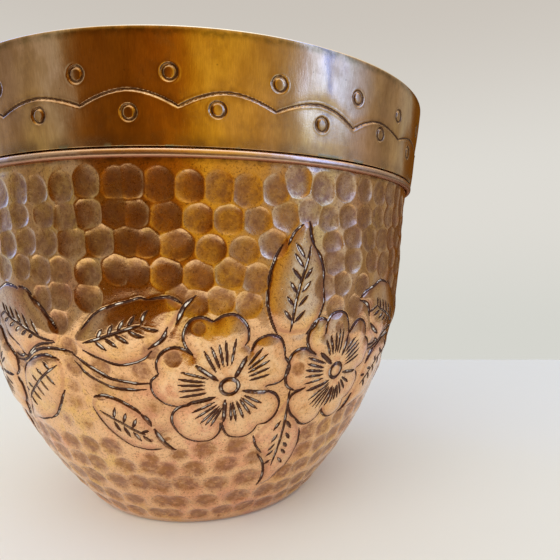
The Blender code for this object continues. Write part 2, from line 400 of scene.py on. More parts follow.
SPRIG_LEFT = {
    "leaves": [{
        "outline": px([(198, 352), (156, 376), (120, 358), (85, 354), (55, 361), (20, 361), (-20, 369), (-70, 385),
                       (-120, 410), (-165, 448), (-190, 480), (-170, 506), (-110, 530), (-50, 548), (0, 543), (40, 526),
                       (62, 505), (98, 470), (125, 440), (150, 405)]),
        "edges": [px(q) for q in (
            [(57, 363), (30, 359), (0, 367), (-40, 376), (-72, 388)], [(-62, 380), (-110, 402), (-162, 447)],
            [(156, 374), (130, 360), (106, 356), (60, 362)],
            [(60, 506), (42, 524), (22, 535), (0, 543), (-50, 549), (-110, 532), (-170, 508)])],
        "bold": [px(q) for q in ([(197, 354), (162, 384), (138, 431)], [(112, 438), (100, 464), (82, 481), (50, 500)])],
        "rib": [px([(35, 431), (0, 440), (-50, 455), (-100, 470), (-160, 486)])],
        "veins": [px(q) for q in (
            [(36, 428), (44, 404), (54, 392)], [(-4, 436), (17, 407)], [(-38, 450), (-18, 418)], [(-72, 460), (-52, 430)],
            [(-107, 471), (-88, 444)],
            [(38, 437), (60, 443), (88, 447)], [(-6, 446), (20, 459), (42, 464)], [(-46, 458), (-6, 482)],
            [(-82, 468), (-42, 494)], [(-117, 478), (-80, 504)])],
    }, {
        "outline": px([(110, 844), (75, 822), (48, 785), (34, 755), (15, 722), (-20, 690), (-70, 665), (-120, 650),
                       (-165, 655), (-180, 690), (-150, 750), (-100, 800), (-50, 830), (0, 840), (55, 838)]),
        "edges": [px(q) for q in (
            [(-165, 656), (-120, 650), (-70, 664), (-20, 691), (4, 713)], [(-52, 833), (-100, 802), (-150, 752), (-180, 692)],
            [(56, 837), (0, 840), (-56, 829)])],
        "bold": [px(q) for q in ([(0, 711), (18, 727), (31, 750)], [(38, 762), (50, 786), (76, 821), (108, 842)])],
        "rib": [px([(6, 778), (-30, 760), (-80, 733), (-150, 700)])],
        "veins": [px(q) for q in (
            [(-8, 770), (20, 764)], [(-34, 752), (-18, 722)], [(-66, 736), (-52, 702)], [(-98, 720), (-88, 686)],
            [(-4, 780), (22, 806)], [(-36, 766), (-14, 800)], [(-68, 748), (-50, 788)], [(-100, 732), (-86, 770)])],
    }],
    "stem": [px(q) for q in ([(42, 608), (0, 607), (-60, 600), (-120, 576), (-170, 547), (-211, 522)],
                             [(28, 627), (-10, 628), (-70, 625), (-130, 602), (-180, 572), (-211, 546)])],
}

# ----------------------------------------------------------- the hammer marks
# Rows of marks seen from the front; the rest of each row goes on at its pitch.
MARK_ROWS = [
    # marks on the front, count round the pot, half width, half height, depth, soft top
    ([(22, 65), (97, 65), (183, 68), (270, 73), (347, 80), (432, 73), (508, 48), (597, 60), (692, 47), (787, 42),
      (886, 44), (972, 38), (1058, 35)], 67, 6.4, 6.1, 0.80, 0.22),
    ([(30, 140), (115, 146), (205, 148), (292, 150), (383, 148), (470, 140), (552, 120), (632, 137), (715, 125),
      (800, 128), (886, 117), (972, 112), (1058, 108)], 67, 6.4, 6.1, 0.80, 0.0),
    ([(57, 218), (145, 220), (243, 228), (345, 232), (430, 215), (657, 208), (745, 186), (838, 190),
      (928, 188), (1016, 182), (1104, 178)], 65, 6.45, 6.15, 0.80, 0.0),
    ([(25, 292), (112, 292), (205, 298), (297, 300), (380, 308), (665, 266), (750, 258), (868, 262), (962, 266),
      (1052, 252)], 64, 6.45, 6.15, 0.78, 0.0),
    ([(196, 374), (272, 366), (360, 382), (632, 337), (707, 330), (808, 336), (1076, 322)], 64, 6.0, 6.0, 0.72, 0.0),
    ([(678, 402), (786, 404)], 62, 5.6, 5.6, 0.64, 0.0),
    ([(58, 505, 0.8)], 62, 4.4, 4.6, 0.45, 0.0),
    ([(22, 566)], 62, 4.8, 4.8, 0.5, 0.0),
    ([], 62, 4.8, 4.8, 0.4, 0.0),
    ([(45, 690)], 60, 5.6, 5.2, 0.3, 0.0),
    ([(70, 770)], 59, 4.8, 4.8, 0.3, 0.0),
    ([(8, 880, 0.62), (118, 866, 0.74), (222, 851), (343, 845, 0.9), (675, 848), (770, 846), (860, 826), (962, 815),
      (1060, 818)], 57, 6.0, 6.0, 0.56, 0.0),
    ([(57, 935), (175, 931, 0.95), (305, 925, 0.95), (420, 906, 0.85), (690, 930), (797, 925), (890, 904), (990, 896)], 49, 6.2, 6.3, 0.62, 0.0),
    ([(5, 1015), (130, 1013), (265, 1015), (412, 1002), (615, 1015), (722, 1015), (850, 1008), (960, 998)], 43, 6.9, 6.7, 0.66, 0.0),
    ([(70, 1110), (220, 1108), (388, 1110), (545, 1112), (658, 1108), (790, 1112), (922, 1116)], 41, 6.8, 6.4, 0.66, 0.0),
    ([(20, 1195), (175, 1200), (312, 1195), (462, 1195), (586, 1200), (722, 1195), (860, 1195)], 40, 6.4, 6.1, 0.60, 0.0),
]
ROW_S = [172.8, 162.4, 152.4, 142.0, 131.4, 122.4, 111.5, 101.5, 92.5, 83.0, 72.5, 61.5, 50.5, 37.6, 23.8, 11.4]


def moved(pts, centre, turn, scale, dang, k):
    """Points turned and scaled about a centre, then moved round the pot."""
    out = []
    c, s = math.cos(turn), math.sin(turn)
    for a, y in pts:
        x, z = (a - centre[0]) * k, y - centre[1]
        x, z = scale * (c * x - s * z), scale * (s * x + c * z)
        out.append((centre[0] + x / k + dang, centre[1] + z))
    return out


def jitter(pts, amount):
    return [(a + rng.normal(0, amount) / 2.0, y + rng.normal(0, amount)) for a, y in pts]


def draw_flower(rel, spec, dang, turn, scale):
    k = 112.0 * DEG
    place = lambda pts: moved(pts, spec["centre"], turn, scale, dang, k)
    ring = []
    for lobe in spec["lobes"]:
        curve = catmull(place(lobe))
        ring.extend(map(tuple, curve))
        rel.cut(curve, 1.08, 0.46, taper=0.12, step=2.4, curve=False, end=0.6)
    rel.raise_shape(ring, 1.2, 5.4, sink=0.28, sink_width=3.0)
    for q in spec["thin"]:
        rel.cut(jitter(place(q), 0.12), 1.12, 0.46, taper=0.25, step=1.5)
    for q in spec["thick"]:
        rel.cut(jitter(place(q), 0.12), 1.85, 0.64, taper=0.2, step=1.7)
    cx, cy = place([spec["centre"]])[0]
    rel.ring(cx, cy, 3.55, 1.6, 0.62, dome=0.45)
    return ring


def draw_leaf(rel, spec, place, wide=0.0):
    ring = catmull(place(spec["outline"]))
    rel.raise_shape(ring, 0.85, 4.4, sink=0.22, sink_width=3.0)
    for q in spec["edges"]:
        rel.cut(place(q), 1.05 + wide, 0.45, taper=0.2, step=2.4, end=0.5)
    for q in spec["bold"]:
        rel.cut(place(q), 1.75, 0.60, taper=0.3, step=2.2, end=0.4)
    for q in spec["rib"]:
        rel.cut(place(q), 1.2, 0.48, taper=0.15, step=1.8)
    for q in spec["veins"]:
        rel.cut(jitter(place(q), 0.1), 1.5, 0.52, taper=0.35, step=1.6, end=0.35)
    return [tuple(p) for p in ring]


def body_relief(columns, rows, radius):
    rel = Relief(columns, rows, radius)
    shapes = []
    for quarter in range(4):
        turn = 90.0 * quarter
        first = quarter == 0
        for spec in (FLOWER_A, FLOWER_B):
            t = 0.0 if first else rng.uniform(-0.10, 0.10)
            sc = 1.0 if first else rng.uniform(0.97, 1.03)
            shapes.append(draw_flower(rel, spec, turn, t, sc))
        around = lambda pts: [(a + turn, y) for a, y in pts]
        shapes.append(draw_leaf(rel, LEAF_UP, around))
        shapes.append(draw_leaf(rel, LEAF_DOWN, around))
        for sprig in (SPRIG_RIGHT, SPRIG_LEFT):
            for leaf in sprig["leaves"]:
                shapes.append(draw_leaf(rel, leaf, around, 0.1))
            for q in sprig["stem"]:
                rel.cut(around(q), 1.4, 0.48, taper=0.2, step=2.0)
    # hammer marks, kept off the flowers and leaves
    polys = []
    for ring in shapes:
        p = np.array(ring, float)
        polys.append((p, p[:, 0].min(), p[:, 0].max(), p[:, 1].min(), p[:, 1].max()))

    def clear(a, s):
        """Distance to the nearest motif, negative inside it."""
        best = 99.0
        for shift in (0, 360, -360):
            aa = a + shift
            for p, a0, a1, s0, s1 in polys:
                if aa < a0 - 6 or aa > a1 + 6 or s < s0 - 12 or s > s1 + 12:
                    continue
                k = rel.radius_at(s) * DEG
                x, y = (p[:, 0] - aa) * k, p[:, 1] - s
                x1, y1 = np.roll(x, -1), np.roll(y, -1)
                dx, dy = x1 - x, y1 - y
                l2 = np.maximum(dx * dx + dy * dy, 1e-9)
                t = np.clip(-(x * dx + y * dy) / l2, 0, 1)
                d = float(np.sqrt(((x + t * dx) ** 2 + (y + t * dy) ** 2).min()))
                odd = ((y > 0) != (y1 > 0)) & (x - y * dx / np.where(dy == 0, 1e-9, dy) > 0)
                best = min(best, -d if odd.sum() % 2 else d)
        return best

    for (front, count, rx, ry, depth, soft), row_s in zip(MARK_ROWS, ROW_S):
        told = sorted((*px([m[:2]])[0], m[2] if len(m) > 2 else 1.0) for m in front)
        seen = [m[:2] for m in told]
        marks = [(a, s, f) for a, s, f in told]
        pitch = 360.0 / count
        wide = len(seen) >= 5
        start = (seen[-1][0] + pitch) if wide else rng.uniform(0, pitch)
        stop = (seen[0][0] + 360 - 0.6 * pitch) if wide else 359.9 + start - 0.5 * pitch
        n = max(1, int(round((stop - start) / pitch + 0.4)))
        for q in range(n):
            a = start + q * (stop - start) / max(n - 1, 1)
            if not wide and any(abs((a - b + 180) % 360 - 180) < pitch for b, _ in seen):
                continue
            if not wide and ((a + 14) % 360) < 58:
                continue
            marks.append((a + rng.normal(0, 0.07) * pitch, row_s + rng.normal(0, 0.75), 0.0))
        for a, s, given in marks:
            gap = clear(a, s)
            size = rng.uniform(0.93, 1.06) * (given or 1.0)
            if not given:
                if gap < 2.6:
                    continue
                size *= min(1.0, (gap + 2.4) / rx)
            dep = depth * rng.uniform(0.82, 1.18) * min(1.0, size) ** 1.5
            rel.hammer(a, s, rx * size * rng.uniform(0.96, 1.04), ry * size, dep,
                       power=rng.uniform(2.9, 3.7), soft_top=soft, skin=0.45 if 70 < row_s < 96 else 1.0)
    # a few dents the hammer left inside petals
    for quarter in range(4):
        for x, y, r in ((125, 526, 3.6), (542, 582, 3.4), (205, 442, 2.8), (700, 462, 2.6)):
            a, s = px([(x, y)])[0]
            if quarter:
                a, s, r = a + rng.uniform(-3, 3), s + rng.uniform(-3, 3), r * rng.uniform(0.7, 1.1)
            rel.hammer(a + 90 * quarter, s, r, r * 1.05, 0.13 * r, power=2.2)
    # and stray small marks in the frieze's ground
    for a, s in px([(75, 800), (85, 797), (22, 800), (305, 1235), (120, 1230), (1022, 610)]):
        rel.hammer(a, s, 1.3, 1.2, 0.16, power=2.0)
    return rel


def band_relief(columns, rows, radius, cusps=22):
    """The band's scallops and ring punches; s is the distance up from its lower edge."""
    rel = Relief(columns, rows, radius)
    pitch = 360.0 / cusps
    up = lambda z: z - BAND_Z
    told_cusp = {0: (-4.0, 187.0), 1: (12.2, 187.5), 2: (28.7, 186.2), 3: (45.0, 188.5), 4: (61.4, 187.4)}
    told_high = {0: (-5.3, 198.5), 1: (12.6, 197.5), 2: (29.3, 198.8), 3: (43.8, 198.5), 4: (58.5, 199.5)}
    told_low = {-1: (-12.0, 185.0), 0: (2.3, 186.5), 1: (21.2, 185.5), 2: (37.1, 187.5), 3: (52.0, 185.5)}
    cusp = [told_cusp.get(i, (-4.1 + pitch * i + rng.normal(0, 0.25), 187.1 + rng.normal(0, 0.6))) for i in range(cusps)]
    cusp.append((cusp[0][0] + 360, cusp[0][1]))
    above = np.zeros_like(rel.groove)
    ang = np.arange(rel.n) * rel.cell
    for i in range(cusps):
        (a0, z0), (a1, z1) = cusp[i], cusp[i + 1]
        top = 192.3 + rng.normal(0, 0.35)
        t = np.linspace(0, 1, 25)
        base = z0 + (z1 - z0) * t
        arc = base + (top - base) * (1 - np.abs(2 * t - 1) ** 1.75)
        pts = np.stack([a0 + (a1 - a0) * t, up(arc)], 1)
        # cut with overlapping blows of a short chisel
        rel.cut(pts, 1.3, 0.50, taper=0.04, step=3.1, curve=False, end=0.75)
        # the strip is beaten in a little above each scallop
        cols = np.nonzero(((ang - a0) % 360) < (a1 - a0))[0]
        line = np.interp((ang[cols] - a0) % 360 + a0, pts[:, 0], pts[:, 1])
        d = rel.s[:, None] - line[None]
        above[:, cols] = -0.34 * np.exp(-np.clip(d, 0, None) / 2.6) * smooth(d / 0.5 + 0.5) * 1.0
    rel.dome += above.astype(np.float32)
    for i in range(cusps):
        a, z = told_high.get(i, (-4.1 + pitch * i + rng.normal(0, 0.5), 198.4 + rng.normal(0, 0.5)))
        rel.ring(a, up(z), 2.65, 1.25, 0.52, dome=0.14, tilt=rng.uniform(0.1, 0.35))
        a, z = told_low.get(i if i < cusps - 1 else -1,
                            (-4.1 + pitch * (i + 0.5) + rng.normal(0, 0.6), 186.2 + rng.normal(0, 0.6)))
        rel.ring(a, up(z), 2.65, 1.25, 0.52, dome=0.14, tilt=rng.uniform(0.1, 0.35))
    return rel
# END RELIEF


# ------------------------------------------------------------ rings to a mesh
def offset(path, distance):
    """The path moved sideways, to its right as it is walked."""
    p = np.asarray(path, float)
    d = np.diff(p, axis=0)
    d /= np.hypot(d[:, 0], d[:, 1])[:, None]
    n = np.stack([d[:, 1], -d[:, 0]], 1)
    first, last = np.concatenate([n[:1], n]), np.concatenate([n, n[-1:]])
    mean = (first + last) / 2
    return p + distance * mean / (mean ** 2).sum(1)[:, None]


def sideways(path):
    """Unit direction to the left of each point of the path: out of the sheet's visible face."""
    p = np.asarray(path, float)
    d = np.gradient(p, axis=0)
    d /= np.maximum(np.hypot(d[:, 0], d[:, 1]), 1e-9)[:, None]
    return np.stack([-d[:, 1], d[:, 0]], 1)


class Turned:
    """A closed mesh of rings, walked clockwise round its section, some finer than others."""

    def __init__(self):
        self.rings, self.marks = [], []

    def ring(self, r, z, n, chart, **marks):
        """One ring of n points; marks are vertex attributes."""
        r = np.broadcast_to(np.asarray(r, float), (n,))
        z = np.broadcast_to(np.asarray(z, float), (n,))
        self.rings.append((r, z, n, chart))
        self.marks.append(marks)

    def build(self, name, charts, names=(), poles=None):
        """Poles are two heights on the axis that close the first and the last ring, for a disc."""
        co, start, values = [], [], {k: [] for k in names}
        total = 0
        for (r, z, n, _), marks in zip(self.rings, self.marks):
            a = np.arange(n) * TAU / n
            co.append(np.stack([r * np.sin(a), -r * np.cos(a), z], 1) * MM)
            start.append(total)
            total += n
            for k in names:
                values[k].append(np.broadcast_to(np.asarray(marks.get(k, 0.0), np.float32), (n,)))
        mid = np.array([(r.mean(), z.mean()) for r, z, _, _ in self.rings])
        span = np.hypot(*(np.roll(mid, -1, axis=0) - mid).T)
        # each chart takes the strips that follow one another on it
        run = {}
        for i, (_, _, _, chart) in enumerate(self.rings):
            run.setdefault(chart, []).append(i)
        low, high = {}, {}
        for chart, members in run.items():
            whole = span[members].sum()
            at = 0.0
            for i in members:
                low[i], high[i] = at / whole, (at + span[i]) / whole
                at += span[i]
        loops, sizes, uvs = [], [], []
        if poles:
            co.append(np.array([(0, 0, poles[0]), (0, 0, poles[1])]) * MM)
            for k in names:
                values[k].append(np.zeros(2, np.float32))
            for i, pole in ((0, total), (len(self.rings) - 1, total + 1)):
                n, (chart, parts) = self.rings[i][2], charts[self.rings[i][3]]
                j = np.arange(n)
                j1, a = (j + 1) % n, start[i]
                fan = (a + j, a + j1, pole + 0 * j) if i == 0 else (a + j1, a + j, pole + 0 * j)
                loops.append(np.stack(fan, 1).ravel())
                v = chart[1] + (0.002 if i == 0 else (chart[3] - chart[1]) - 0.002)
                u = np.stack([j / n, (j + 1) / n, (j + 0.5) / n], 1).ravel()
                uvs.append(np.stack([u, np.full(3 * n, v)], 1))
                sizes.append(np.full(n, 3))
        for i, (_, _, n, chart) in enumerate(self.rings):
            if poles and i == len(self.rings) - 1:
                break
            k = (i + 1) % len(self.rings)
            m = self.rings[k][2]
            a, b = start[i], start[k]
            (u0, v0, u1, v1), parts = charts[chart]
            fine = max(n, m)
            cols = np.arange(fine)
            part = cols // (fine // parts)
            left = (cols % (fine // parts)) / (fine / parts)
            right = left + parts / fine
            gap = 0.004
            height = (v1 - v0) / parts
            base, depth = v0 + part * height + gap / 2, height - gap
            ul, ur = u0 + (u1 - u0) * left, u0 + (u1 - u0) * right
            va, vb = base + depth * low[i], base + depth * high[i]
            if n == m:
                j, j1 = cols, (cols + 1) % n
                loops.append(np.stack([b + j, b + j1, a + j1, a + j], 1).ravel())
                uvs.append(np.stack([np.stack(q, 1) for q in ((ul, vb), (ur, vb), (ur, va), (ul, va))], 1).reshape(-1, 2))
                sizes.append(np.full(n, 4))
                continue
            # two fine cells to one coarse cell, as three triangles
            c = np.arange(fine // 2)
            c1, f, f1, f2 = (c + 1) % (fine // 2), 2 * c, 2 * c + 1, (2 * c + 2) % fine
            le, mi, ri = ul[f], ur[f], ur[f1]
            vt, vd = va[f], vb[f]
            if n > m:      # fine above, coarse below
                tri = [(b + c, a + f1, a + f), (b + c, b + c1, a + f1), (b + c1, a + f2, a + f1)]
                uv = [((le, vd), (mi, vt), (le, vt)), ((le, vd), (ri, vd), (mi, vt)), ((ri, vd), (ri, vt), (mi, vt))]
            else:          # coarse above, fine below
                tri = [(a + c, b + f, b + f1), (a + c, b + f1, a + c1), (a + c1, b + f1, b + f2)]
                uv = [((le, vt), (le, vd), (mi, vd)), ((le, vt), (mi, vd), (ri, vt)), ((ri, vt), (mi, vd), (ri, vd))]
            for t, q in zip(tri, uv):
                loops.append(np.stack(t, 1).ravel())
                uvs.append(np.stack([np.stack(x, 1) for x in q], 1).reshape(-1, 2))
                sizes.append(np.full(len(c), 3))
        co, loops = np.concatenate(co), np.concatenate(loops)
        sizes, uvs = np.concatenate(sizes), np.concatenate(uvs)
        return make_mesh(name, co, loops, sizes, uvs, {k: np.concatenate(v) for k, v in values.items()})


def make_mesh(name, co, loops, sizes, uvs, values):
    mesh = bpy.data.meshes.new(name)
    mesh.vertices.add(len(co))
    mesh.vertices.foreach_set("co", co.astype(np.float32).ravel())
    mesh.loops.add(len(loops))
    mesh.loops.foreach_set("vertex_index", loops.astype(np.int32))
    mesh.polygons.add(len(sizes))
    mesh.polygons.foreach_set("loop_start", np.concatenate([[0], np.cumsum(sizes)[:-1]]).astype(np.int32))
    mesh.update(calc_edges=True)
    layer = mesh.uv_layers.new(name="OFBake")
    layer.uv.foreach_set("vector", uvs.astype(np.float32).ravel())
    for key, data in values.items():
        mesh.attributes.new(key, "FLOAT", "POINT").data.foreach_set("value", data.astype(np.float32))
    mesh.shade_smooth()
    obj = bpy.data.objects.new(name, mesh)
    bpy.context.scene.collection.objects.link(obj)
    return obj


def blur_round(f, columns, rows):
    """Box-smooths a grid round the pot and up the wall, twice."""
    f = f.astype(np.float32)
    for _ in range(2):
        f = sum(np.roll(f, k, axis=1) for k in range(-columns, columns + 1)) / (2 * columns + 1)
        pad = np.concatenate([f[:1]] * rows + [f] + [f[-1:]] * rows)
        f = sum(pad[k:k + len(f)] for k in range(2 * rows + 1)) / (2 * rows + 1)
    return f


COLUMNS = 1600


def planish(rel, amp, size, seed):
    """Faint overlapping hammer facets, about size mm across."""
    g = np.random.default_rng(seed)
    rows, cols = int((rel.s[-1] - rel.s[0]) / size) + 3, 5 * int(TAU * 115 / size / 5)
    coarse = g.normal(0, 1, (rows, cols))
    y = (rel.s - rel.s[0]) / size
    x = np.arange(rel.n) * cols / rel.n
    i, j = y.astype(int), x.astype(int)
    fy, fx = smooth(y - i)[:, None], smooth(x - j)[None]
    at = lambda a, b: coarse[np.ix_((i + a) % rows, (j + b) % cols)]
    return (amp * ((1 - fy) * ((1 - fx) * at(0, 0) + fx * at(0, 1)) + fy * ((1 - fx) * at(1, 0) + fx * at(1, 1)))).astype(np.float32)


def flutes(rel, amp, size, seed):
    """Upright unevenness left by the rolls, about size mm across."""
    g = np.random.default_rng(seed)
    cols = int(TAU * 127 / size)
    lean = np.outer(rel.s, np.ones(rel.n)) * 0.05
    x = (np.arange(rel.n)[None] * cols / rel.n + lean) % cols
    j = x.astype(int)
    f = smooth(x - j)
    a = g.normal(0, 1, cols)
    return (amp * ((1 - f) * a[j % cols] + f * a[(j + 1) % cols])).astype(np.float32)


def build_body():
    """Raised sheet of the body: neck, chased face, foot corner and flange, with its inner side."""
    rows = np.arange(S_FOOT + 0.21, S_TOP - 0.1, 0.42)
    path = resample(face, S_TOP - rows)          # rows rise; the face is walked downwards
    rel = body_relief(COLUMNS, rows, path[:, 0])
    fade = smooth((S_TOP - rows) / 1.6) * smooth((rows - S_FOOT) / 5.0)
    slow = rel.undulate(0.22, 26, 5) + planish(rel, 0.11, 8.0, 3) + planish(rel, 0.05, 4.6, 4)
    h = (rel.height() + slow) * fade[:, None]
    h = h + 0.18 * np.random.default_rng(8).normal(0, 0.02, h.shape)
    # the inner side follows it, softened by the thickness of the sheet
    soft = blur_round(rel.dish + rel.dome + np.where(rel.dome > 0, 0, rel.sunk) - 0.35 * rel.groove, 2, 2)
    soft = (soft + slow) * fade[:, None]
    # the blurred cut depth marks dirt round the chased lines and painted shade beside them
    facing, tilt, groove_dirt_and_shade = rel.facing(), rel.tilt(), blur_round(rel.groove, 3, 3) / 0.16
    lean = sideways(path[::-1])[::-1]
    inner = offset(path[::-1], WALL)[::-1]

    t = Turned()
    neck = np.linspace(0, 1, 7)[:, None] * (np.array(NECK_FOOT) - NECK_TOP) + NECK_TOP
    for r, z in neck:
        t.ring(r, z, COLUMNS, "rest")
    t.ring(122.93, 172.3, COLUMNS, "rest")
    t.ring(122.73, 170.1, COLUMNS, "face")
    for i in range(len(rows) - 1, -1, -1):
        t.ring(path[i, 0] + lean[i, 0] * h[i], path[i, 1] + lean[i, 1] * h[i], COLUMNS, "face",
               cut=np.clip(rel.groove[i] / 0.5, 0, 1) * fade[i], dish=rel.inside[i], rise=np.clip(rel.dome[i], -1, 1),
               lit=facing[i], groove_dirt_and_shade=np.clip(groove_dirt_and_shade[i], 0, 1), core=rel.core[i], tilt=tilt[i])
    bend = resample(np.concatenate([[(68.6, 2.0)], corner]), np.linspace(0.25, length(corner) - 0.1, 6))
    for r, z in bend:
        t.ring(r, z, COLUMNS, "rest")
    for r, z in [(64.3, 0.0), (62.0, 0.0), (59.0, 0.0), (56.0, 0.0), (55.56, 0.03), (55.5, 0.12)]:
        t.ring(r, z, COLUMNS, "rest")
    half = COLUMNS // 2
    for r, z in [(55.5, WALL - 0.12), (55.56, WALL - 0.03), (56.0, WALL), (59.0, WALL), (62.0, WALL), (64.2, WALL)]:
        t.ring(r, z, half, "rest")
    back = offset(np.concatenate([[(68.6, 2.0)], corner]), WALL)
    for r, z in resample(back, np.linspace(0.3, length(back) - 0.3, 4))[::-1]:
        t.ring(r, z, half, "rest")
    for i in range(1, len(rows), 2):
        t.ring(inner[i, 0] + lean[i, 0] * soft[i, ::2], inner[i, 1] + lean[i, 1] * soft[i, ::2], half, "rest",
               dish=rel.inside[i, ::2] * 0.4, rise=np.clip(-rel.dome[i, ::2], -1, 1))
    for r, z in offset([tuple(NECK_TOP), NECK_FOOT, (122.7, 169.7)], WALL)[1:2]:
        t.ring(r, z, half, "rest")
    turn = np.arange(half) * TAU / half
    for q, (r, z) in enumerate((neck + [-WALL, 0])[::-1][1:]):
        wave = 0.10 * np.sin(9 * turn + 1.3 * q) + 0.08 * np.sin(17 * turn - 2.1 * q)
        t.ring(r + (wave - 0.1) * (z < 205), z, half, "rest")
    return t.build("brass_body", {"face": ((0, 0, 1, 0.74), 2), "rest": ((0, 0.75, 1, 1), 1)},
                   ("cut", "dish", "rise", "lit", "groove_dirt_and_shade", "core", "tilt"))


def build_band():
    """Strip round the mouth, folded over the neck, with its hem inside."""
    hem, hem_z = HEM / 2, HEIGHT - HEM / 2
    slope = (RIM_R - BAND_R) / (hem_z - BAND_Z)
    lean_in = (NECK_TOP[0] - NECK_FOOT[0]) / (NECK_TOP[1] - NECK_FOOT[1])
    rows = np.arange(0.2, hem_z - BAND_Z - 0.05, 0.4)
    rel = band_relief(COLUMNS, rows, BAND_R + slope * rows)
    fade = smooth(rows / 1.0) * smooth((hem_z - BAND_Z - rows) / 3.0)
    h = rel.height() * fade[:, None] + (rel.undulate(0.12, 22, 11) + flutes(rel, 0.045, 8.5, 6) + planish(rel, 0.02, 9.0, 7)) * smooth(rows / 6.0)[:, None] * fade[:, None]
    # the blurred cut depth marks dirt round the chased lines and painted shade beside them
    facing, groove_dirt_and_shade = rel.facing(), blur_round(rel.groove, 3, 3) / 0.16
    out = np.array([1.0, -slope]) / math.hypot(1, slope)
    t = Turned()
    low = (RIM_R - HEM - lean_in * HEM_DEPTH, hem_z - HEM_DEPTH)
    high = (RIM_R - HEM, hem_z)
    ang = np.arange(COLUMNS) * TAU / COLUMNS
    ragged = 0.16 * np.sin(7 * ang + 1) + 0.12 * np.sin(13 * ang + 2) + 0.06 * np.sin(31 * ang)
    for q, f in ((0.0, 1.0), (0.02, 1.0), (0.12, 0.8), (0.3, 0.5), (0.5, 0.2), (0.75, 0.0)):
        t.ring(low[0] + (high[0] - low[0]) * q - 0.02 * (q > 0), low[1] + (high[1] - low[1]) * q + ragged * f, COLUMNS, "out")
    for i in range(0, 15):
        a = math.pi * (1 - i / 15)
        c, s = math.cos(a), math.sin(a)
        k = 0.35 if c > 0 else 0.8
        c = math.copysign(abs(c) ** k, c)
        t.ring(RIM_R - hem + hem * c, hem_z + (hem - 0.06) * abs(s) ** k + 0.05 * ragged * s, COLUMNS, "out")
    for i in range(len(rows) - 1, -1, -1):
        t.ring(BAND_R + slope * rows[i] + out[0] * h[i], BAND_Z + rows[i] + out[1] * h[i], COLUMNS, "out",
               cut=np.clip(rel.groove[i] / 0.5, 0, 1), lit=facing[i],
               groove_dirt_and_shade=np.clip(groove_dirt_and_shade[i], 0, 1), core=rel.core[i])
    t.ring(BAND_R - 0.05, BAND_Z + 0.05, COLUMNS, "out")
    t.ring(BAND_R - 0.2, BAND_Z, COLUMNS, "out")
    half = COLUMNS // 2
    t.ring(BAND_R - STRIP + 0.1, BAND_Z, half, "in")
    for z in np.linspace(BAND_Z + 0.1, hem_z, 12):
        t.ring(BAND_R + slope * (z - BAND_Z) - STRIP, z, half, "in")
    for i in range(1, 8):
        a = math.pi * i / 8
        t.ring(RIM_R - hem + (hem - STRIP) * math.cos(a), hem_z + (hem - STRIP) * math.sin(a), half, "in")
    for q in (1.0, 0.6, 0.3, 0.05):
        z = low[1] + (high[1] - low[1]) * q + (ragged[::2] if q < 0.5 else 0)
        t.ring(low[0] + (high[0] - low[0]) * q + STRIP, z, half, "in")
    return t.build("brass_band", {"out": ((0, 0, 1, 0.86), 4), "in": ((0, 0.87, 1, 1), 1)}, ("cut", "lit", "groove_dirt_and_shade", "core"))


def build_bead():
    """Half-round bead under the band, a little uneven by hand."""
    back, top, tall, reach = 123.3, 173.3, 3.4, 125.6
    ang = np.arange(COLUMNS) * TAU / COLUMNS
    g = np.random.default_rng(31)
    wave = lambda amp, top_n: amp * sum(g.normal() * np.sin(g.integers(3, top_n) * ang + g.uniform(0, TAU)) for _ in range(9)) / 3
    swell, sag, nick = wave(0.05, 40), wave(0.05, 30), wave(0.03, 160)
    t = Turned()
    t.ring(back, top - 0.05, COLUMNS, "a")
    n = 16
    for i in range(n + 1):
        a = math.pi / 2 - math.pi * i / n
        c, s = math.cos(a), math.sin(a)
        c, s = math.copysign(abs(c) ** 0.8, c), math.copysign(abs(s) ** 0.9, s)
        t.ring(back + 1.0 + (reach - back - 1.12) * c + (swell + nick) * max(c, 0) - 0.05 * (c > 0.5),
               top - tall / 2 + (tall / 2 - 0.06) * s + np.clip(sag, -0.12, 0.05) * (0.3 if s > 0 else 1.0) * abs(c),
               COLUMNS, "a", low=1 - (i / n))
    t.ring(back, top - tall + 0.06, COLUMNS, "a")
    t.ring(back, top - tall / 2, COLUMNS, "a")
    return t.build("brass_bead", {"a": ((0, 0, 1, 1), 8)}, ("low",))


def build_base():
    """Flat disc of the base, its middle pushed up, not quite flat any more."""
    n = 720
    foot, thick, kick, kick_r, rim = WALL + 0.3, 0.9, 1.5, 51.0, 65.2
    ang = np.arange(n) * TAU / n
    g = np.random.default_rng(4)
    waves = [(g.integers(2, 7), g.uniform(0, TAU), g.uniform(10, 60), g.uniform(6, 22), g.normal()) for _ in range(10)]

    def sag(r):
        lump = sum(w * np.sin(k * ang + p) * math.exp(-((r - c) / d) ** 2) for k, p, c, d, w in waves)
        return 0.07 * lump * smooth(r / 12.0) * smooth((60.0 - r) / 12.0)

    def level(r):
        return kick * float(1 - smooth((r - kick_r + 1.0) / 5.0))

    t = Turned()
    radii = [1.0] + list(np.arange(2.0, 46.0, 2.0)) + list(np.arange(46.0, 58.0, 0.6)) + [60, 62, 64, rim - 0.15]
    for r in radii:
        t.ring(r, foot + thick + level(r) + sag(r), n, "top")
    t.ring(rim - 0.02, foot + thick - 0.12, n, "top")
    t.ring(rim, foot + thick / 2, n, "top")
    t.ring(rim - 0.02, foot + 0.12, n, "under")
    for r in radii[::-1]:
        t.ring(r, foot + level(r) + sag(r), n, "under")
    return t.build("brass_base", {"top": ((0, 0, 1, 0.49), 2), "under": ((0, 0.51, 1, 1), 2)},
                   poles=(foot + thick + kick, foot + kick))


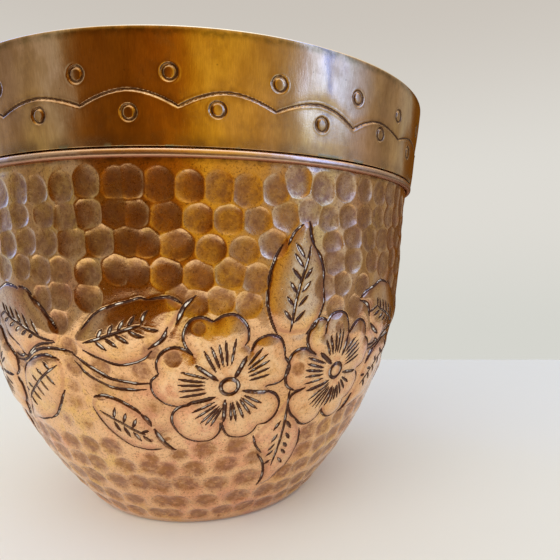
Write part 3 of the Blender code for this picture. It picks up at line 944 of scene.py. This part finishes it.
def build_base_seam():
    """Brazing metal run into the corner between the disc and the wall."""
    n = 900
    ang = np.arange(n) * TAU / n
    g = np.random.default_rng(77)
    lump = sum(g.normal() * np.sin(g.integers(5, 90) * ang + g.uniform(0, TAU)) for _ in range(24)) / 5
    reach = sum(g.normal() * np.sin(g.integers(3, 50) * ang + g.uniform(0, TAU)) for _ in range(18)) / 4.5
    inside = offset(np.concatenate([face, [(67.6, 0.8)]]), WALL)[::-1]
    low, high = [(float(np.interp(z, inside[:, 1], inside[:, 0])) - 0.45, z) for z in (2.4, 5.1)]
    t = Turned()
    # down the wall side, in along the disc, and back up over the fillet's face
    for q in np.linspace(0, 1, 5):
        t.ring(high[0] + (low[0] - high[0]) * q, high[1] + (low[1] - high[1]) * q, n, "a")
    for q in (0.35, 0.7, 1.0):
        t.ring(low[0] - 4.0 * q + (0.25 * np.clip(reach, -1, 1) if q == 1.0 else 0), low[1], n, "a")
    for q in np.linspace(0.08, 0.94, 12):
        # a hollow fillet face between the toe on the disc and the toe on the wall
        r = (1 - q) ** 2 * (low[0] - 4.1) + 2 * q * (1 - q) * (low[0] - 1.9) + q * q * (high[0] - 0.02)
        z = (1 - q) ** 2 * (low[1] + 0.05) + 2 * q * (1 - q) * (low[1] + 0.55) + q * q * (high[1] - 0.02)
        bump = 0.16 * np.clip(lump, -1.2, 1.2) * math.sin(math.pi * q) ** 2
        t.ring(r - 0.7 * bump, z + 0.7 * bump, n, "a")
    return t.build("braze_fillet", {"a": ((0, 0, 1, 1), 4)})


# ------------------------------------------------------------------ materials
class Graph:
    """Short ways to write a node tree."""

    def __init__(self, tree):
        self.tree = tree
        tree.nodes.clear()

    def node(self, kind, **settings):
        n = self.tree.nodes.new(kind)
        for key, value in settings.items():
            setattr(n, key, value)
        return n

    def put(self, socket, value):
        if isinstance(value, bpy.types.NodeSocket):
            self.tree.links.new(value, socket)
        elif value is not None:
            if socket.type == "RGBA" and len(value) == 3:
                value = (*value, 1.0)
            socket.default_value = value

    def math(self, op, a, b=None, c=None, clamp=False):
        n = self.node("ShaderNodeMath", operation=op, use_clamp=clamp)
        for socket, value in zip(n.inputs, (a, b, c)):
            self.put(socket, value)
        return n.outputs[0]

    def add(self, *terms):
        out = terms[0]
        for x in terms[1:]:
            out = self.math("ADD", out, x)
        return out

    def mul(self, *terms):
        out = terms[0]
        for x in terms[1:]:
            out = self.math("MULTIPLY", out, x)
        return out

    def less(self, x):
        """One minus x."""
        return self.math("SUBTRACT", 1.0, x)

    def step(self, x, low, high, to=(0.0, 1.0)):
        n = self.node("ShaderNodeMapRange", interpolation_type="SMOOTHSTEP")
        for key, value in (("Value", x), ("From Min", low), ("From Max", high), ("To Min", to[0]), ("To Max", to[1])):
            self.put(n.inputs[key], value)
        return n.outputs[0]

    def mix(self, f, a, b, kind="MIX"):
        n = self.node("ShaderNodeMix", data_type="RGBA", blend_type=kind)
        self.put(n.inputs[0], f)
        self.put(n.inputs[6], a)
        self.put(n.inputs[7], b)
        return n.outputs[2]

    def blend(self, f, a, b):
        n = self.node("ShaderNodeMix", data_type="FLOAT")
        self.put(n.inputs[0], f)
        self.put(n.inputs[2], a)
        self.put(n.inputs[3], b)
        return n.outputs[0]

    def attr(self, name):
        return self.node("ShaderNodeAttribute", attribute_name=name).outputs["Fac"]

    def place(self):
        if not hasattr(self, "_place"):
            self._place = self.node("ShaderNodeTexCoord").outputs["Object"]
        return self._place

    def noise(self, size, detail=2.0, rough=0.5, stretch=(1, 1, 1), shift=0.0, distort=0.0):
        """Noise whose grain is about size mm, stretched along the axes; 0.5 on average."""
        n = self.node("ShaderNodeMapping")
        self.put(n.inputs["Vector"], self.place())
        n.inputs["Scale"].default_value = [1 / v for v in stretch]
        n.inputs["Location"].default_value = (shift, shift * 0.7, shift * 1.3)
        t = self.node("ShaderNodeTexNoise")
        self.put(t.inputs["Vector"], n.outputs[0])
        t.inputs["Scale"].default_value = 1000.0 / size
        t.inputs["Detail"].default_value = detail
        t.inputs["Roughness"].default_value = rough
        t.inputs["Distortion"].default_value = distort
        return t.outputs[0]

    def cells(self, size, shift=0.0):
        """Distance to the nearest of scattered points about size mm apart."""
        n = self.node("ShaderNodeMapping")
        self.put(n.inputs["Vector"], self.place())
        n.inputs["Location"].default_value = (shift, shift, shift)
        t = self.node("ShaderNodeTexVoronoi")
        self.put(t.inputs["Vector"], n.outputs[0])
        t.inputs["Scale"].default_value = 1000.0 / size
        return t.outputs["Distance"]

    def height(self):
        n = self.node("ShaderNodeSeparateXYZ")
        self.put(n.inputs[0], self.place())
        return self.mul(n.outputs[2], 1000.0)

    def shade(self, colour, rough, bump, metallic=1.0, strength=1.0):
        """Ends the tree: colour, roughness, and a height in mm for the bump."""
        b = self.node("ShaderNodeBump")
        b.inputs["Strength"].default_value = strength
        b.inputs["Distance"].default_value = MM
        self.put(b.inputs["Height"], bump)
        p = self.node("ShaderNodeBsdfPrincipled")
        self.put(p.inputs["Base Color"], colour)
        self.put(p.inputs["Roughness"], rough)
        self.put(p.inputs["Metallic"], metallic)
        self.put(p.inputs["Normal"], b.outputs[0])
        out = self.node("ShaderNodeOutputMaterial")
        self.tree.links.new(p.outputs[0], out.inputs[0])


def material(name):
    mat = bpy.data.materials.new(name)
    mat.use_nodes = True
    return mat, Graph(mat.node_tree)


CLEAN, ROSE, GOLD = (0.98, 0.605, 0.325), (0.92, 0.475, 0.28), (0.96, 0.61, 0.23)
# the dark of the chased lines is black wax together with painted shade on their down-facing flanks
TARNISH, SOOT_AND_SHADE = (0.31, 0.13, 0.075), (0.075, 0.025, 0.014)


def chased_brass():
    """The body: polished lands and flowers with painted highlights and shade on the domes, brown-skinned hammer marks,
    dark chased lines with painted shade.
    """
    mat, g = material("chased_brass")
    cut, dish, rise, lit = (g.attr(k) for k in ("cut", "dish", "rise", "lit"))
    z = g.height()
    broad, hand, blot, grain, dust = (g.noise(46, 2, shift=1), g.noise(9, 3, 0.6, shift=2), g.noise(3.4, 3, 0.65, shift=3),
                                      g.noise(0.55, 2, 0.6, shift=4), g.noise(0.9, 1, shift=5))
    colour = g.mix(g.step(broad, 0.35, 0.65), ROSE, GOLD)
    colour = g.mix(g.step(hand, 0.42, 0.6), CLEAN, colour)
    # darker, less yellow in a belt from 58 to 116 mm up
    mid_belt = g.mul(g.step(z, 58.0, 74.0), g.less(g.step(z, 98.0, 116.0)))
    colour = g.mix(mid_belt, colour, (0.93, 0.865, 0.80), kind="MULTIPLY")
    # brown skin, thickest in the hammer marks and wiped off the lands, with painted shade added on the marks' upper
    # sides
    mark = g.step(g.add(dish, g.mul(g.math("SUBTRACT", blot, 0.5), 0.16)), g.step(z, 50.0, 100.0, (0.0, 0.05)), g.step(z, 50.0, 100.0, (0.70, 0.48)))
    mottle = g.noise(1.5, 3, 0.7, shift=6)
    skin = g.mul(mark, g.blend(g.step(blot, 0.3, 0.68), 0.55, 1.1), g.blend(g.step(mottle, 0.30, 0.65), 0.78, 1.12))
    skin = g.add(skin, g.mul(g.step(hand, 0.50, 0.75), g.blend(g.step(mottle, 0.42, 0.6), 0.0, 0.24)))
    skin = g.math("MULTIPLY", skin, g.blend(g.step(z, 60.0, 110.0), 1.12, 0.82), clamp=True)
    # painted shade on the down-facing upper sides of the lower hammer marks, added to the skin
    painted_shade_upper_side = g.mul(g.step(g.attr("tilt"), 0.55, 0.95), g.less(g.step(z, 62.0, 90.0)))
    skin = g.math("ADD", skin, g.mul(painted_shade_upper_side, 0.28), clamp=True)
    colour = g.mix(g.step(z, 95.0, 130.0), colour, (1.0, 0.97, 0.84), kind="MULTIPLY")
    colour = g.mix(g.mul(skin, g.step(z, 50.0, 100.0, (0.86, 0.88))), colour, g.mix(g.step(g.noise(5, 2, shift=7), 0.4, 0.6), TARNISH, (0.36, 0.15, 0.045)))
    pores = g.noise(1.0, 3, 0.75, shift=8)
    colour = g.mix(g.step(pores, 0.34, 0.47, (0.68, 0.0)), colour, (0.27, 0.11, 0.045))
    colour = g.mix(g.step(grain, 0.35, 0.65, (0.20, 0.0)), colour, (0.28, 0.13, 0.05))
    # dirt and painted shade in a halo round the chased lines
    colour = g.mix(g.mul(g.attr("groove_dirt_and_shade"), g.blend(g.step(mottle, 0.35, 0.6), 0.1, 0.55)), colour, (0.20, 0.09, 0.04))
    # painted highlight: paler colour on the tops of the domed petals and leaves, off the hammer marks
    crown = g.mul(g.step(g.add(rise, g.mul(g.math("SUBTRACT", hand, 0.5), 0.5)), 0.6, 1.1), g.blend(g.step(blot, 0.35, 0.65), 0.0, 0.55), g.less(g.step(dish, 0.05, 0.35)))
    colour = g.mix(crown, colour, (1.0, 0.70, 0.40))
    # painted shade: darker, pinker colour round the feet of the domes
    edge = g.mul(g.step(rise, 0.02, 0.12), g.less(g.step(rise, 0.25, 0.60)), g.blend(g.step(hand, 0.35, 0.65), 0.3, 0.8))
    colour = g.mix(edge, colour, (0.54, 0.245, 0.13))
    # brown specks
    speck = g.mul(g.less(g.step(g.cells(2.6, 3.0), 0.06, 0.17)), g.step(blot, 0.5, 0.62))
    colour = g.mix(g.mul(speck, 0.5), colour, (0.12, 0.06, 0.03))
    # chased lines: black wax and tarnish in them, with painted shade; the dark is partly left off flanks that face up
    worn = g.step(g.noise(4.0, 1, shift=9), 0.36, 0.56)
    flank = g.mul(g.step(g.attr("core"), 0.0, 0.14), g.less(g.mul(g.step(lit, 0.70, 0.95), g.blend(worn, 0.0, 0.6))))
    colour = g.mix(g.mul(flank, 0.98), colour, SOOT_AND_SHADE)
    # dried polish and painted highlights along the bottoms of the cuts: pale, partly non-metallic colour
    glint_patches = g.step(g.noise(5.0, 3, 0.6, shift=27), 0.50, 0.60)
    glint = g.mul(g.step(g.attr("core"), 0.46, 0.72), g.blend(glint_patches, 0.06, 1.0), g.step(z, 55.0, 125.0, (0.45, 1.0)))
    colour = g.mix(glint, colour, (0.95, 0.87, 0.74))
    # painted shadow with dirt in the corner under the bead, and the colour darker towards the foot
    shadow_and_dirt_under_bead = g.mul(g.step(z, 167.6, 169.8), g.blend(g.step(blot, 0.3, 0.7), 0.25, 0.8))
    colour = g.mix(shadow_and_dirt_under_bead, colour, (0.16, 0.075, 0.03))
    colour = g.mix(g.mul(g.less(g.step(z, 0.5, 7.0)), 0.35), colour, TARNISH)
    rough = g.blend(skin, 0.15, 0.36)
    rough = g.add(rough, g.mul(g.math("SUBTRACT", hand, 0.5), 0.12))
    rough = g.blend(flank, rough, 0.48)
    bump = g.add(g.mul(grain, 0.018), g.mul(dust, g.blend(skin, 0.010, 0.035)), g.mul(blot, 0.035),
                 g.mul(speck, -0.04))
    g.shade(colour, rough, bump, metallic=g.less(g.mul(glint, 0.75)))
    return mat


def band_brass():
    """The band: upright polishing strokes, fine scratches, browned scallops with painted shade on their lines, a
    browned foot and a painted highlight on the rim.
    """
    mat, g = material("band_brass")
    cut, lit = g.attr("cut"), g.attr("lit")
    z = g.height()
    broad, hand, blot = g.noise(40, 2, shift=11), g.noise(10, 3, 0.6, shift=12), g.noise(2.6, 3, 0.6, shift=13)
    strokes = g.noise(2.4, 4, 0.7, stretch=(1, 1, 12), shift=14)
    runs = g.noise(7.0, 3, 0.65, stretch=(1, 1, 2.6), shift=10)
    hair = g.noise(0.35, 2, 0.6, stretch=(1, 1, 30), shift=15)
    across = g.noise(0.5, 2, 0.6, stretch=(16, 16, 1), shift=16)
    grain = g.noise(0.5, 2, 0.6, shift=17)
    colour = g.mix(g.step(broad, 0.35, 0.65), GOLD, CLEAN)
    colour = g.mix(g.mul(g.step(strokes, 0.4, 0.75), 0.35), colour, (0.80, 0.46, 0.22))
    colour = g.mix(g.mul(g.step(runs, 0.42, 0.64), 0.6), colour, (0.66, 0.36, 0.13))
    film = g.mul(g.step(hand, 0.42, 0.75), g.blend(g.step(blot, 0.3, 0.7), 0.15, 0.6))
    colour = g.mix(film, colour, (0.50, 0.28, 0.12))
    foot = g.mul(g.less(g.step(z, 174.0, 179.5)), g.blend(g.step(g.noise(14, 3, 0.6, shift=18), 0.35, 0.65), 0.15, 0.9))
    colour = g.mix(g.mul(foot, 0.75), colour, (0.22, 0.12, 0.05))
    verdigris = g.mul(g.less(g.step(z, 173.7, 175.2)), g.step(g.noise(7, 2, shift=19), 0.56, 0.64))
    colour = g.mix(g.mul(verdigris, 0.75), colour, (0.30, 0.36, 0.24))
    worn = g.step(g.noise(5.0, 1, shift=20), 0.32, 0.52)
    lip_skin = g.mul(g.step(g.add(z, g.mul(hand, 2.5)), 211.0, 213.6), g.less(g.step(z, 213.2, 213.8)), g.blend(g.step(blot, 0.3, 0.7), 0.3, 0.8))
    colour = g.mix(lip_skin, colour, (0.30, 0.20, 0.07))
    # painted highlight: pale colour along the top of the rim's fold
    colour = g.mix(g.mul(g.step(z, 213.2, 213.7), 0.8), colour, (0.86, 0.78, 0.58))
    # dirt and painted shade in a halo round the chased lines
    colour = g.mix(g.mul(g.attr("groove_dirt_and_shade"), g.blend(g.step(blot, 0.35, 0.65), 0.15, 0.7)), colour, (0.26, 0.12, 0.045))
    # chased lines: black wax with painted shade, left off the flanks that face up and off some worn bottoms
    flank = g.mul(g.step(cut, 0.03, 0.28), g.less(g.mul(g.step(lit, 0.52, 0.72), g.blend(worn, 0.6, 1.0))),
                  g.less(g.mul(g.step(cut, 0.6, 0.95), worn, 0.6)))
    speck = g.mul(g.less(g.step(g.cells(3.2, 5.0), 0.05, 0.14)), g.step(blot, 0.5, 0.62))
    colour = g.mix(g.mul(speck, 0.45), colour, (0.12, 0.06, 0.03))
    colour = g.mix(g.mul(flank, 0.93), colour, SOOT_AND_SHADE)
    rough = g.add(0.06, g.mul(strokes, 0.10), g.mul(film, 0.20), g.mul(foot, 0.18), g.mul(verdigris, 0.3))
    rough = g.blend(flank, rough, 0.42)
    colour = g.mix(g.step(hair, 0.35, 0.65, (0.20, 0.0)), colour, (0.40, 0.24, 0.09))
    bump = g.add(g.mul(strokes, 0.020), g.mul(hair, 0.006), g.mul(across, 0.006), g.mul(grain, 0.010), g.mul(blot, 0.014))
    g.shade(colour, rough, bump)
    return mat


def bead_brass():
    """The bead: rosy on its crown, brown in the line under it, and painted shade on its underside."""
    mat, g = material("bead_brass")
    low = g.attr("low")           # 1 at the top of the bead, 0 at its underside
    hand, blot, grain = g.noise(12, 3, 0.6, shift=21), g.noise(2.2, 3, 0.6, shift=22), g.noise(0.5, 2, 0.6, shift=23)
    colour = g.mix(g.step(hand, 0.3, 0.7), (0.95, 0.66, 0.40), (0.93, 0.60, 0.35))
    # a brown line below the bead's middle, and painted shade on its underside, darkest at the bottom
    line = g.mul(g.step(low, 0.26, 0.36), g.less(g.step(low, 0.42, 0.52)))
    under = g.mul(g.add(line, g.mul(g.less(g.step(low, 0.14, 0.32)), 0.72)), g.blend(g.step(blot, 0.25, 0.7), 0.6, 1.0))
    colour = g.mix(g.mul(under, 0.85), colour, (0.16, 0.07, 0.045))
    # painted shade: brownish-pink colour over the underside
    colour = g.mix(g.less(g.step(low, 0.20, 0.34)), colour, (0.42, 0.20, 0.125))
    top = g.mul(g.step(low, 0.93, 1.0), g.blend(g.step(blot, 0.3, 0.7), 0.3, 0.8))
    colour = g.mix(top, colour, (0.10, 0.06, 0.03))
    rough = g.add(0.22, g.mul(under, 0.18), g.mul(blot, 0.08))
    bump = g.add(g.mul(grain, 0.016), g.mul(blot, 0.03))
    g.shade(colour, rough, bump)
    return mat


def base_brass():
    """The base disc: duller, with turning marks, water stains and a brown rim."""
    mat, g = material("base_brass")
    n = g.node("ShaderNodeSeparateXYZ")
    g.put(n.inputs[0], g.place())
    r = g.mul(g.math("SQRT", g.add(g.mul(n.outputs[0], n.outputs[0]), g.mul(n.outputs[1], n.outputs[1]))), 1000.0)
    hand, blot, grain = g.noise(16, 4, 0.6, shift=31), g.noise(3.5, 3, 0.6, shift=32), g.noise(0.6, 2, 0.6, shift=33)
    rings = g.math("SINE", g.mul(g.add(r, g.mul(hand, 1.2)), TAU / 0.9))
    colour = g.mix(g.step(hand, 0.3, 0.7), (0.80, 0.48, 0.24), (0.62, 0.36, 0.17))
    stain = g.mul(g.step(g.noise(26, 4, 0.65, shift=34, distort=0.6), 0.48, 0.60), g.blend(g.step(blot, 0.3, 0.7), 0.4, 0.9))
    colour = g.mix(g.mul(stain, 0.7), colour, (0.22, 0.11, 0.05))
    chalk = g.mul(g.step(g.noise(11, 4, 0.7, shift=35), 0.60, 0.70), 0.35)
    colour = g.mix(chalk, colour, (0.55, 0.50, 0.40))
    rim = g.step(g.add(r, g.mul(hand, 5.0)), 58.0, 66.0)
    colour = g.mix(g.mul(rim, 0.7), colour, (0.13, 0.065, 0.03))
    rough = g.add(0.30, g.mul(stain, 0.18), g.mul(chalk, 0.5), g.mul(rim, 0.15))
    bump = g.add(g.mul(rings, 0.004), g.mul(grain, 0.012), g.mul(blot, 0.03))
    g.shade(colour, rough, bump, metallic=g.less(g.mul(chalk, 0.9)))
    return mat


def braze_metal():
    """Brazing metal: lumpy, browned, with glassy flux left in its hollows."""
    mat, g = material("braze_metal")
    hand, blot, grain = g.noise(6, 3, 0.6, shift=41), g.noise(1.6, 3, 0.6, shift=42), g.noise(0.5, 2, 0.6, shift=43)
    colour = g.mix(g.step(hand, 0.3, 0.7), (0.66, 0.46, 0.22), (0.40, 0.22, 0.10))
    flux = g.step(blot, 0.56, 0.68)
    colour = g.mix(g.mul(flux, 0.8), colour, (0.06, 0.035, 0.02))
    rough = g.blend(flux, 0.36, 0.2)
    bump = g.add(g.mul(blot, 0.09), g.mul(grain, 0.03))
    g.shade(colour, rough, bump, metallic=g.less(g.mul(flux, 0.8)))
    return mat


def floor_paint():
    """Plain pale floor; beyond the pot's surroundings it is left to the world."""
    mat, g = material("pale_floor")
    grain = g.noise(1.4, 3, 0.6, shift=51)
    tint = g.noise(120, 2, shift=52)
    colour = g.mix(tint, (0.85, 0.835, 0.762), (0.835, 0.82, 0.748))
    g.shade(colour, 0.7, g.mul(grain, 0.02), metallic=0.0)
    out = next(n for n in g.tree.nodes if n.bl_idname == "ShaderNodeOutputMaterial")
    paint = next(n for n in g.tree.nodes if n.bl_idname == "ShaderNodeBsdfPrincipled")
    paint.inputs["Specular IOR Level"].default_value = 0.2
    n = g.node("ShaderNodeSeparateXYZ")
    g.put(n.inputs[0], g.place())
    r = g.mul(g.math("SQRT", g.add(g.mul(n.outputs[0], n.outputs[0]), g.mul(n.outputs[1], n.outputs[1]))), 1000.0)
    clear = g.node("ShaderNodeBsdfTransparent")
    join = g.node("ShaderNodeMixShader")
    path = g.node("ShaderNodeLightPath")
    away = g.mul(g.add(g.mul(n.outputs[0], 0.1616), g.mul(n.outputs[1], 0.9869)), 1000.0)
    table = g.math("MAXIMUM", g.step(r, 520.0, 610.0), g.step(away, TABLE_EDGE, TABLE_EDGE + 3.0))
    g.put(join.inputs[0], g.blend(path.outputs["Is Camera Ray"], g.step(r, FLOOR_FADE[0], FLOOR_FADE[1]), table))
    g.tree.links.new(paint.outputs[0], join.inputs[1])
    g.tree.links.new(clear.outputs[0], join.inputs[2])
    g.tree.links.new(join.outputs[0], out.inputs[0])
    return mat


# ------------------------------------------------------------------ the pieces
FLOOR_FADE = (330.0, 430.0)         # how far the metal sees the floor
TABLE_EDGE = 303.0                  # straight back edge, across the photograph's viewing direction

PIECES = [
    (build_body, chased_brass, "body_wall", "hammered_brass"),
    (build_band, band_brass, "rim_band", "band_brass"),
    (build_bead, bead_brass, "lip_bead", "bead_brass"),
    (build_base, base_brass, "base_disc", "base_brass"),
    (build_base_seam, braze_metal, "base_braze_seam", "seam_brass"),
]
for build, paint, node, slot in PIECES:
    obj = build()
    obj.data.materials.append(paint())
    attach(obj, "root")
    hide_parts(node)

# the braze in the lap is out of sight; it keeps its CAD shape and gets the same metal
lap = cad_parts["band_braze_seam"]
for i in range(len(lap.data.materials)):
    lap.data.materials[i] = bpy.data.materials["braze_metal"]

floor_mesh = bpy.data.meshes.new("floor")
n_floor = 96
floor_mesh.from_pydata([(0.62 * math.sin(TAU * i / n_floor), -0.62 * math.cos(TAU * i / n_floor), -0.0001)
                        for i in range(n_floor)], [], [list(range(n_floor))])
floor_mesh.materials.append(floor_paint())
floor = bpy.data.objects.new("floor", floor_mesh)
bpy.context.scene.collection.objects.link(floor)


# ------------------------------------------------------------ room and light
def linear(r, g, b):
    """8-bit screen values to linear light."""
    return tuple((v / 255 / 12.92) if v <= 10 else ((v / 255 + 0.055) / 1.055) ** 2.4 for v in (r, g, b))


def build_world():
    """A pale room.  The metal sees warm wood on one side, a window, and a pale wall, and the same again behind."""
    world = bpy.data.worlds.new("studio")
    bpy.context.scene.world = world
    world.use_nodes = True
    g = Graph(world.node_tree)
    way = g.node("ShaderNodeTexCoord").outputs["Generated"]
    xyz = g.node("ShaderNodeSeparateXYZ")
    g.put(xyz.inputs[0], way)
    x, y, z = xyz.outputs
    az = g.mul(g.math("ARCTAN2", x, g.mul(y, -1.0)), 1 / DEG)
    el = g.mul(g.math("ARCSINE", z), 1 / DEG)
    turn = g.math("FRACT", g.math("DIVIDE", g.add(az, 62.0 + 360.0), 180.0))

    def ramp(stops):
        n = g.node("ShaderNodeValToRGB")
        els = n.color_ramp.elements
        for _ in range(len(stops) - 2):
            els.new(0.5)
        for e, (a, c) in zip(els, sorted(stops)):
            e.position = (a + 62.0) / 180.0
            e.color = (c[0] / 5, c[1] / 5, c[2] / 5, 1.0)
        g.put(n.inputs[0], turn)
        s = g.node("ShaderNodeVectorMath", operation="SCALE")
        g.tree.links.new(n.outputs[0], s.inputs[0])
        s.inputs["Scale"].default_value = 5.0
        return s.outputs[0]

    near = ramp([(-62, (0.36, 0.37, 0.40)), (-57, (0.22, 0.14, 0.06)), (-50, (0.15, 0.06, 0.008)), (-30, (0.15, 0.058, 0.004)),
                 (-22, (0.22, 0.08, 0.004)), (-12, (0.29, 0.11, 0.006)), (-7, (0.34, 0.16, 0.009)), (-3, (0.46, 0.27, 0.02)),
                 (4, (0.60, 0.42, 0.05)), (18, (0.49, 0.34, 0.065)), (30, (0.42, 0.30, 0.11)), (37, (0.38, 0.31, 0.20)),
                 (42, (0.40, 0.40, 0.45)), (45, (0.62, 0.84, 1.7)), (49, (1.02, 1.62, 4.1)), (54.5, (1.04, 1.66, 4.2)), (56.5, (0.30, 0.56, 2.3)),
                 (59, (0.30, 0.56, 2.3)), (61, (0.90, 1.42, 3.6)), (64, (0.80, 1.25, 3.1)), (68, (0.62, 0.98, 2.3)), (75, (0.42, 0.52, 0.95)),
                 (85, (0.33, 0.30, 0.28)), (95, (0.22, 0.19, 0.17)), (106, (0.34, 0.31, 0.27)), (118, (0.36, 0.37, 0.40))])
    low = ramp([(-62, (0.36, 0.36, 0.38)), (-57, (0.24, 0.15, 0.06)), (-50, (0.15, 0.065, 0.008)), (-30, (0.15, 0.058, 0.004)), (-12, (0.30, 0.12, 0.008)),
                (-4, (0.45, 0.26, 0.02)), (4, (0.62, 0.43, 0.055)), (18, (0.52, 0.37, 0.10)), (30, (0.44, 0.34, 0.17)),
                (42, (0.42, 0.40, 0.38)), (50, (0.60, 0.72, 0.95)), (61, (0.56, 0.66, 0.88)), (68, (0.44, 0.48, 0.62)), (85, (0.34, 0.30, 0.26)),
                (95, (0.24, 0.20, 0.17)), (106, (0.36, 0.32, 0.23)), (118, (0.36, 0.36, 0.38))])
    top = ramp([(-62, (0.95, 0.88, 0.76)), (-52, (0.85, 0.60, 0.18)), (-30, (0.85, 0.56, 0.14)), (0, (0.92, 0.66, 0.20)), (30, (0.95, 0.82, 0.50)),
                (50, (1.05, 1.05, 1.10)), (70, (1.05, 1.0, 1.0)), (118, (0.95, 0.88, 0.76))])
    window = g.mul(g.step(turn, (43 + 62) / 180, (48 + 62) / 180), g.less(g.step(turn, (66 + 62) / 180, (73 + 62) / 180)))
    room = g.mix(g.step(el, 3.0, 8.0), low, near)
    ceiling = g.mix(g.step(el, 36.0, 58.0), top, (1.20, 1.20, 1.30))
    ceiling = g.mix(g.step(el, 60.0, 76.0), ceiling, (1.9, 2.2, 2.8))
    open_sky = g.mul(window, g.less(g.step(el, 52.0, 68.0)))
    room = g.mix(g.mul(g.step(el, 18.0, 44.0), g.less(open_sky)), room, ceiling)
    # what the camera sees behind the pot: pale wall over pale table
    wall = g.mix(g.step(el, 8.0, 30.0), linear(222, 219, 212), linear(202, 195, 186))
    wall = g.mix(g.step(el, -9.0, 6.0), linear(213, 213, 206), wall)
    table = g.mix(g.step(el, -40.0, -15.0), linear(218, 215, 208), linear(213, 211, 205))
    plain = g.mix(g.step(el, -12.8, -12.0), table, wall)
    path = g.node("ShaderNodeLightPath")
    seen = g.mix(path.outputs["Is Camera Ray"], room, plain)
    seen = g.mix(path.outputs["Is Diffuse Ray"], seen, AMBIENT)
    # light the metal throws back on the floor
    seen = g.mix(g.math("MULTIPLY", path.outputs["Is Glossy Ray"], g.math("GREATER_THAN", path.outputs["Diffuse Depth"], 0.5)),
                 seen, (1.15, 1.25, 1.25))
    back = g.node("ShaderNodeBackground")
    g.put(back.inputs[0], seen)
    out = g.node("ShaderNodeOutputWorld")
    g.tree.links.new(back.outputs[0], out.inputs[0])


AMBIENT = (0.785, 0.785, 0.77)
build_world()

lamp = bpy.data.lights.new("softbox", "AREA")
lamp.shape = "DISK"
lamp.size = 0.7
lamp.energy = 2.9
lamp.color = (1.0, 0.98, 0.94)
box = bpy.data.objects.new("softbox", lamp)
bpy.context.scene.collection.objects.link(box)
box.location = (-0.42, -0.52, 0.34)
box.rotation_euler = (math.radians(61), 0.0, math.radians(-41))
box.visible_camera = False
box.visible_glossy = False

# -------------------------------------------------------------------- camera
YAW, PITCH, ROLL = 9.302 * DEG, -2.767 * DEG, -0.116 * DEG
cam = bpy.data.cameras.new("camera")
cam.sensor_width, cam.lens = 36.0, 29.548
cam.clip_start, cam.clip_end = 0.01, 50.0
eye = bpy.data.objects.new("camera", cam)
bpy.context.scene.collection.objects.link(eye)
eye.location = (0.0, -0.29628, 0.13344)
eye.rotation_euler = (math.pi / 2 + PITCH, 0.0, -YAW)
bpy.context.scene.camera = eye
bpy.context.scene.view_settings.view_transform = "Standard"
bpy.context.scene.view_settings.look = "None"
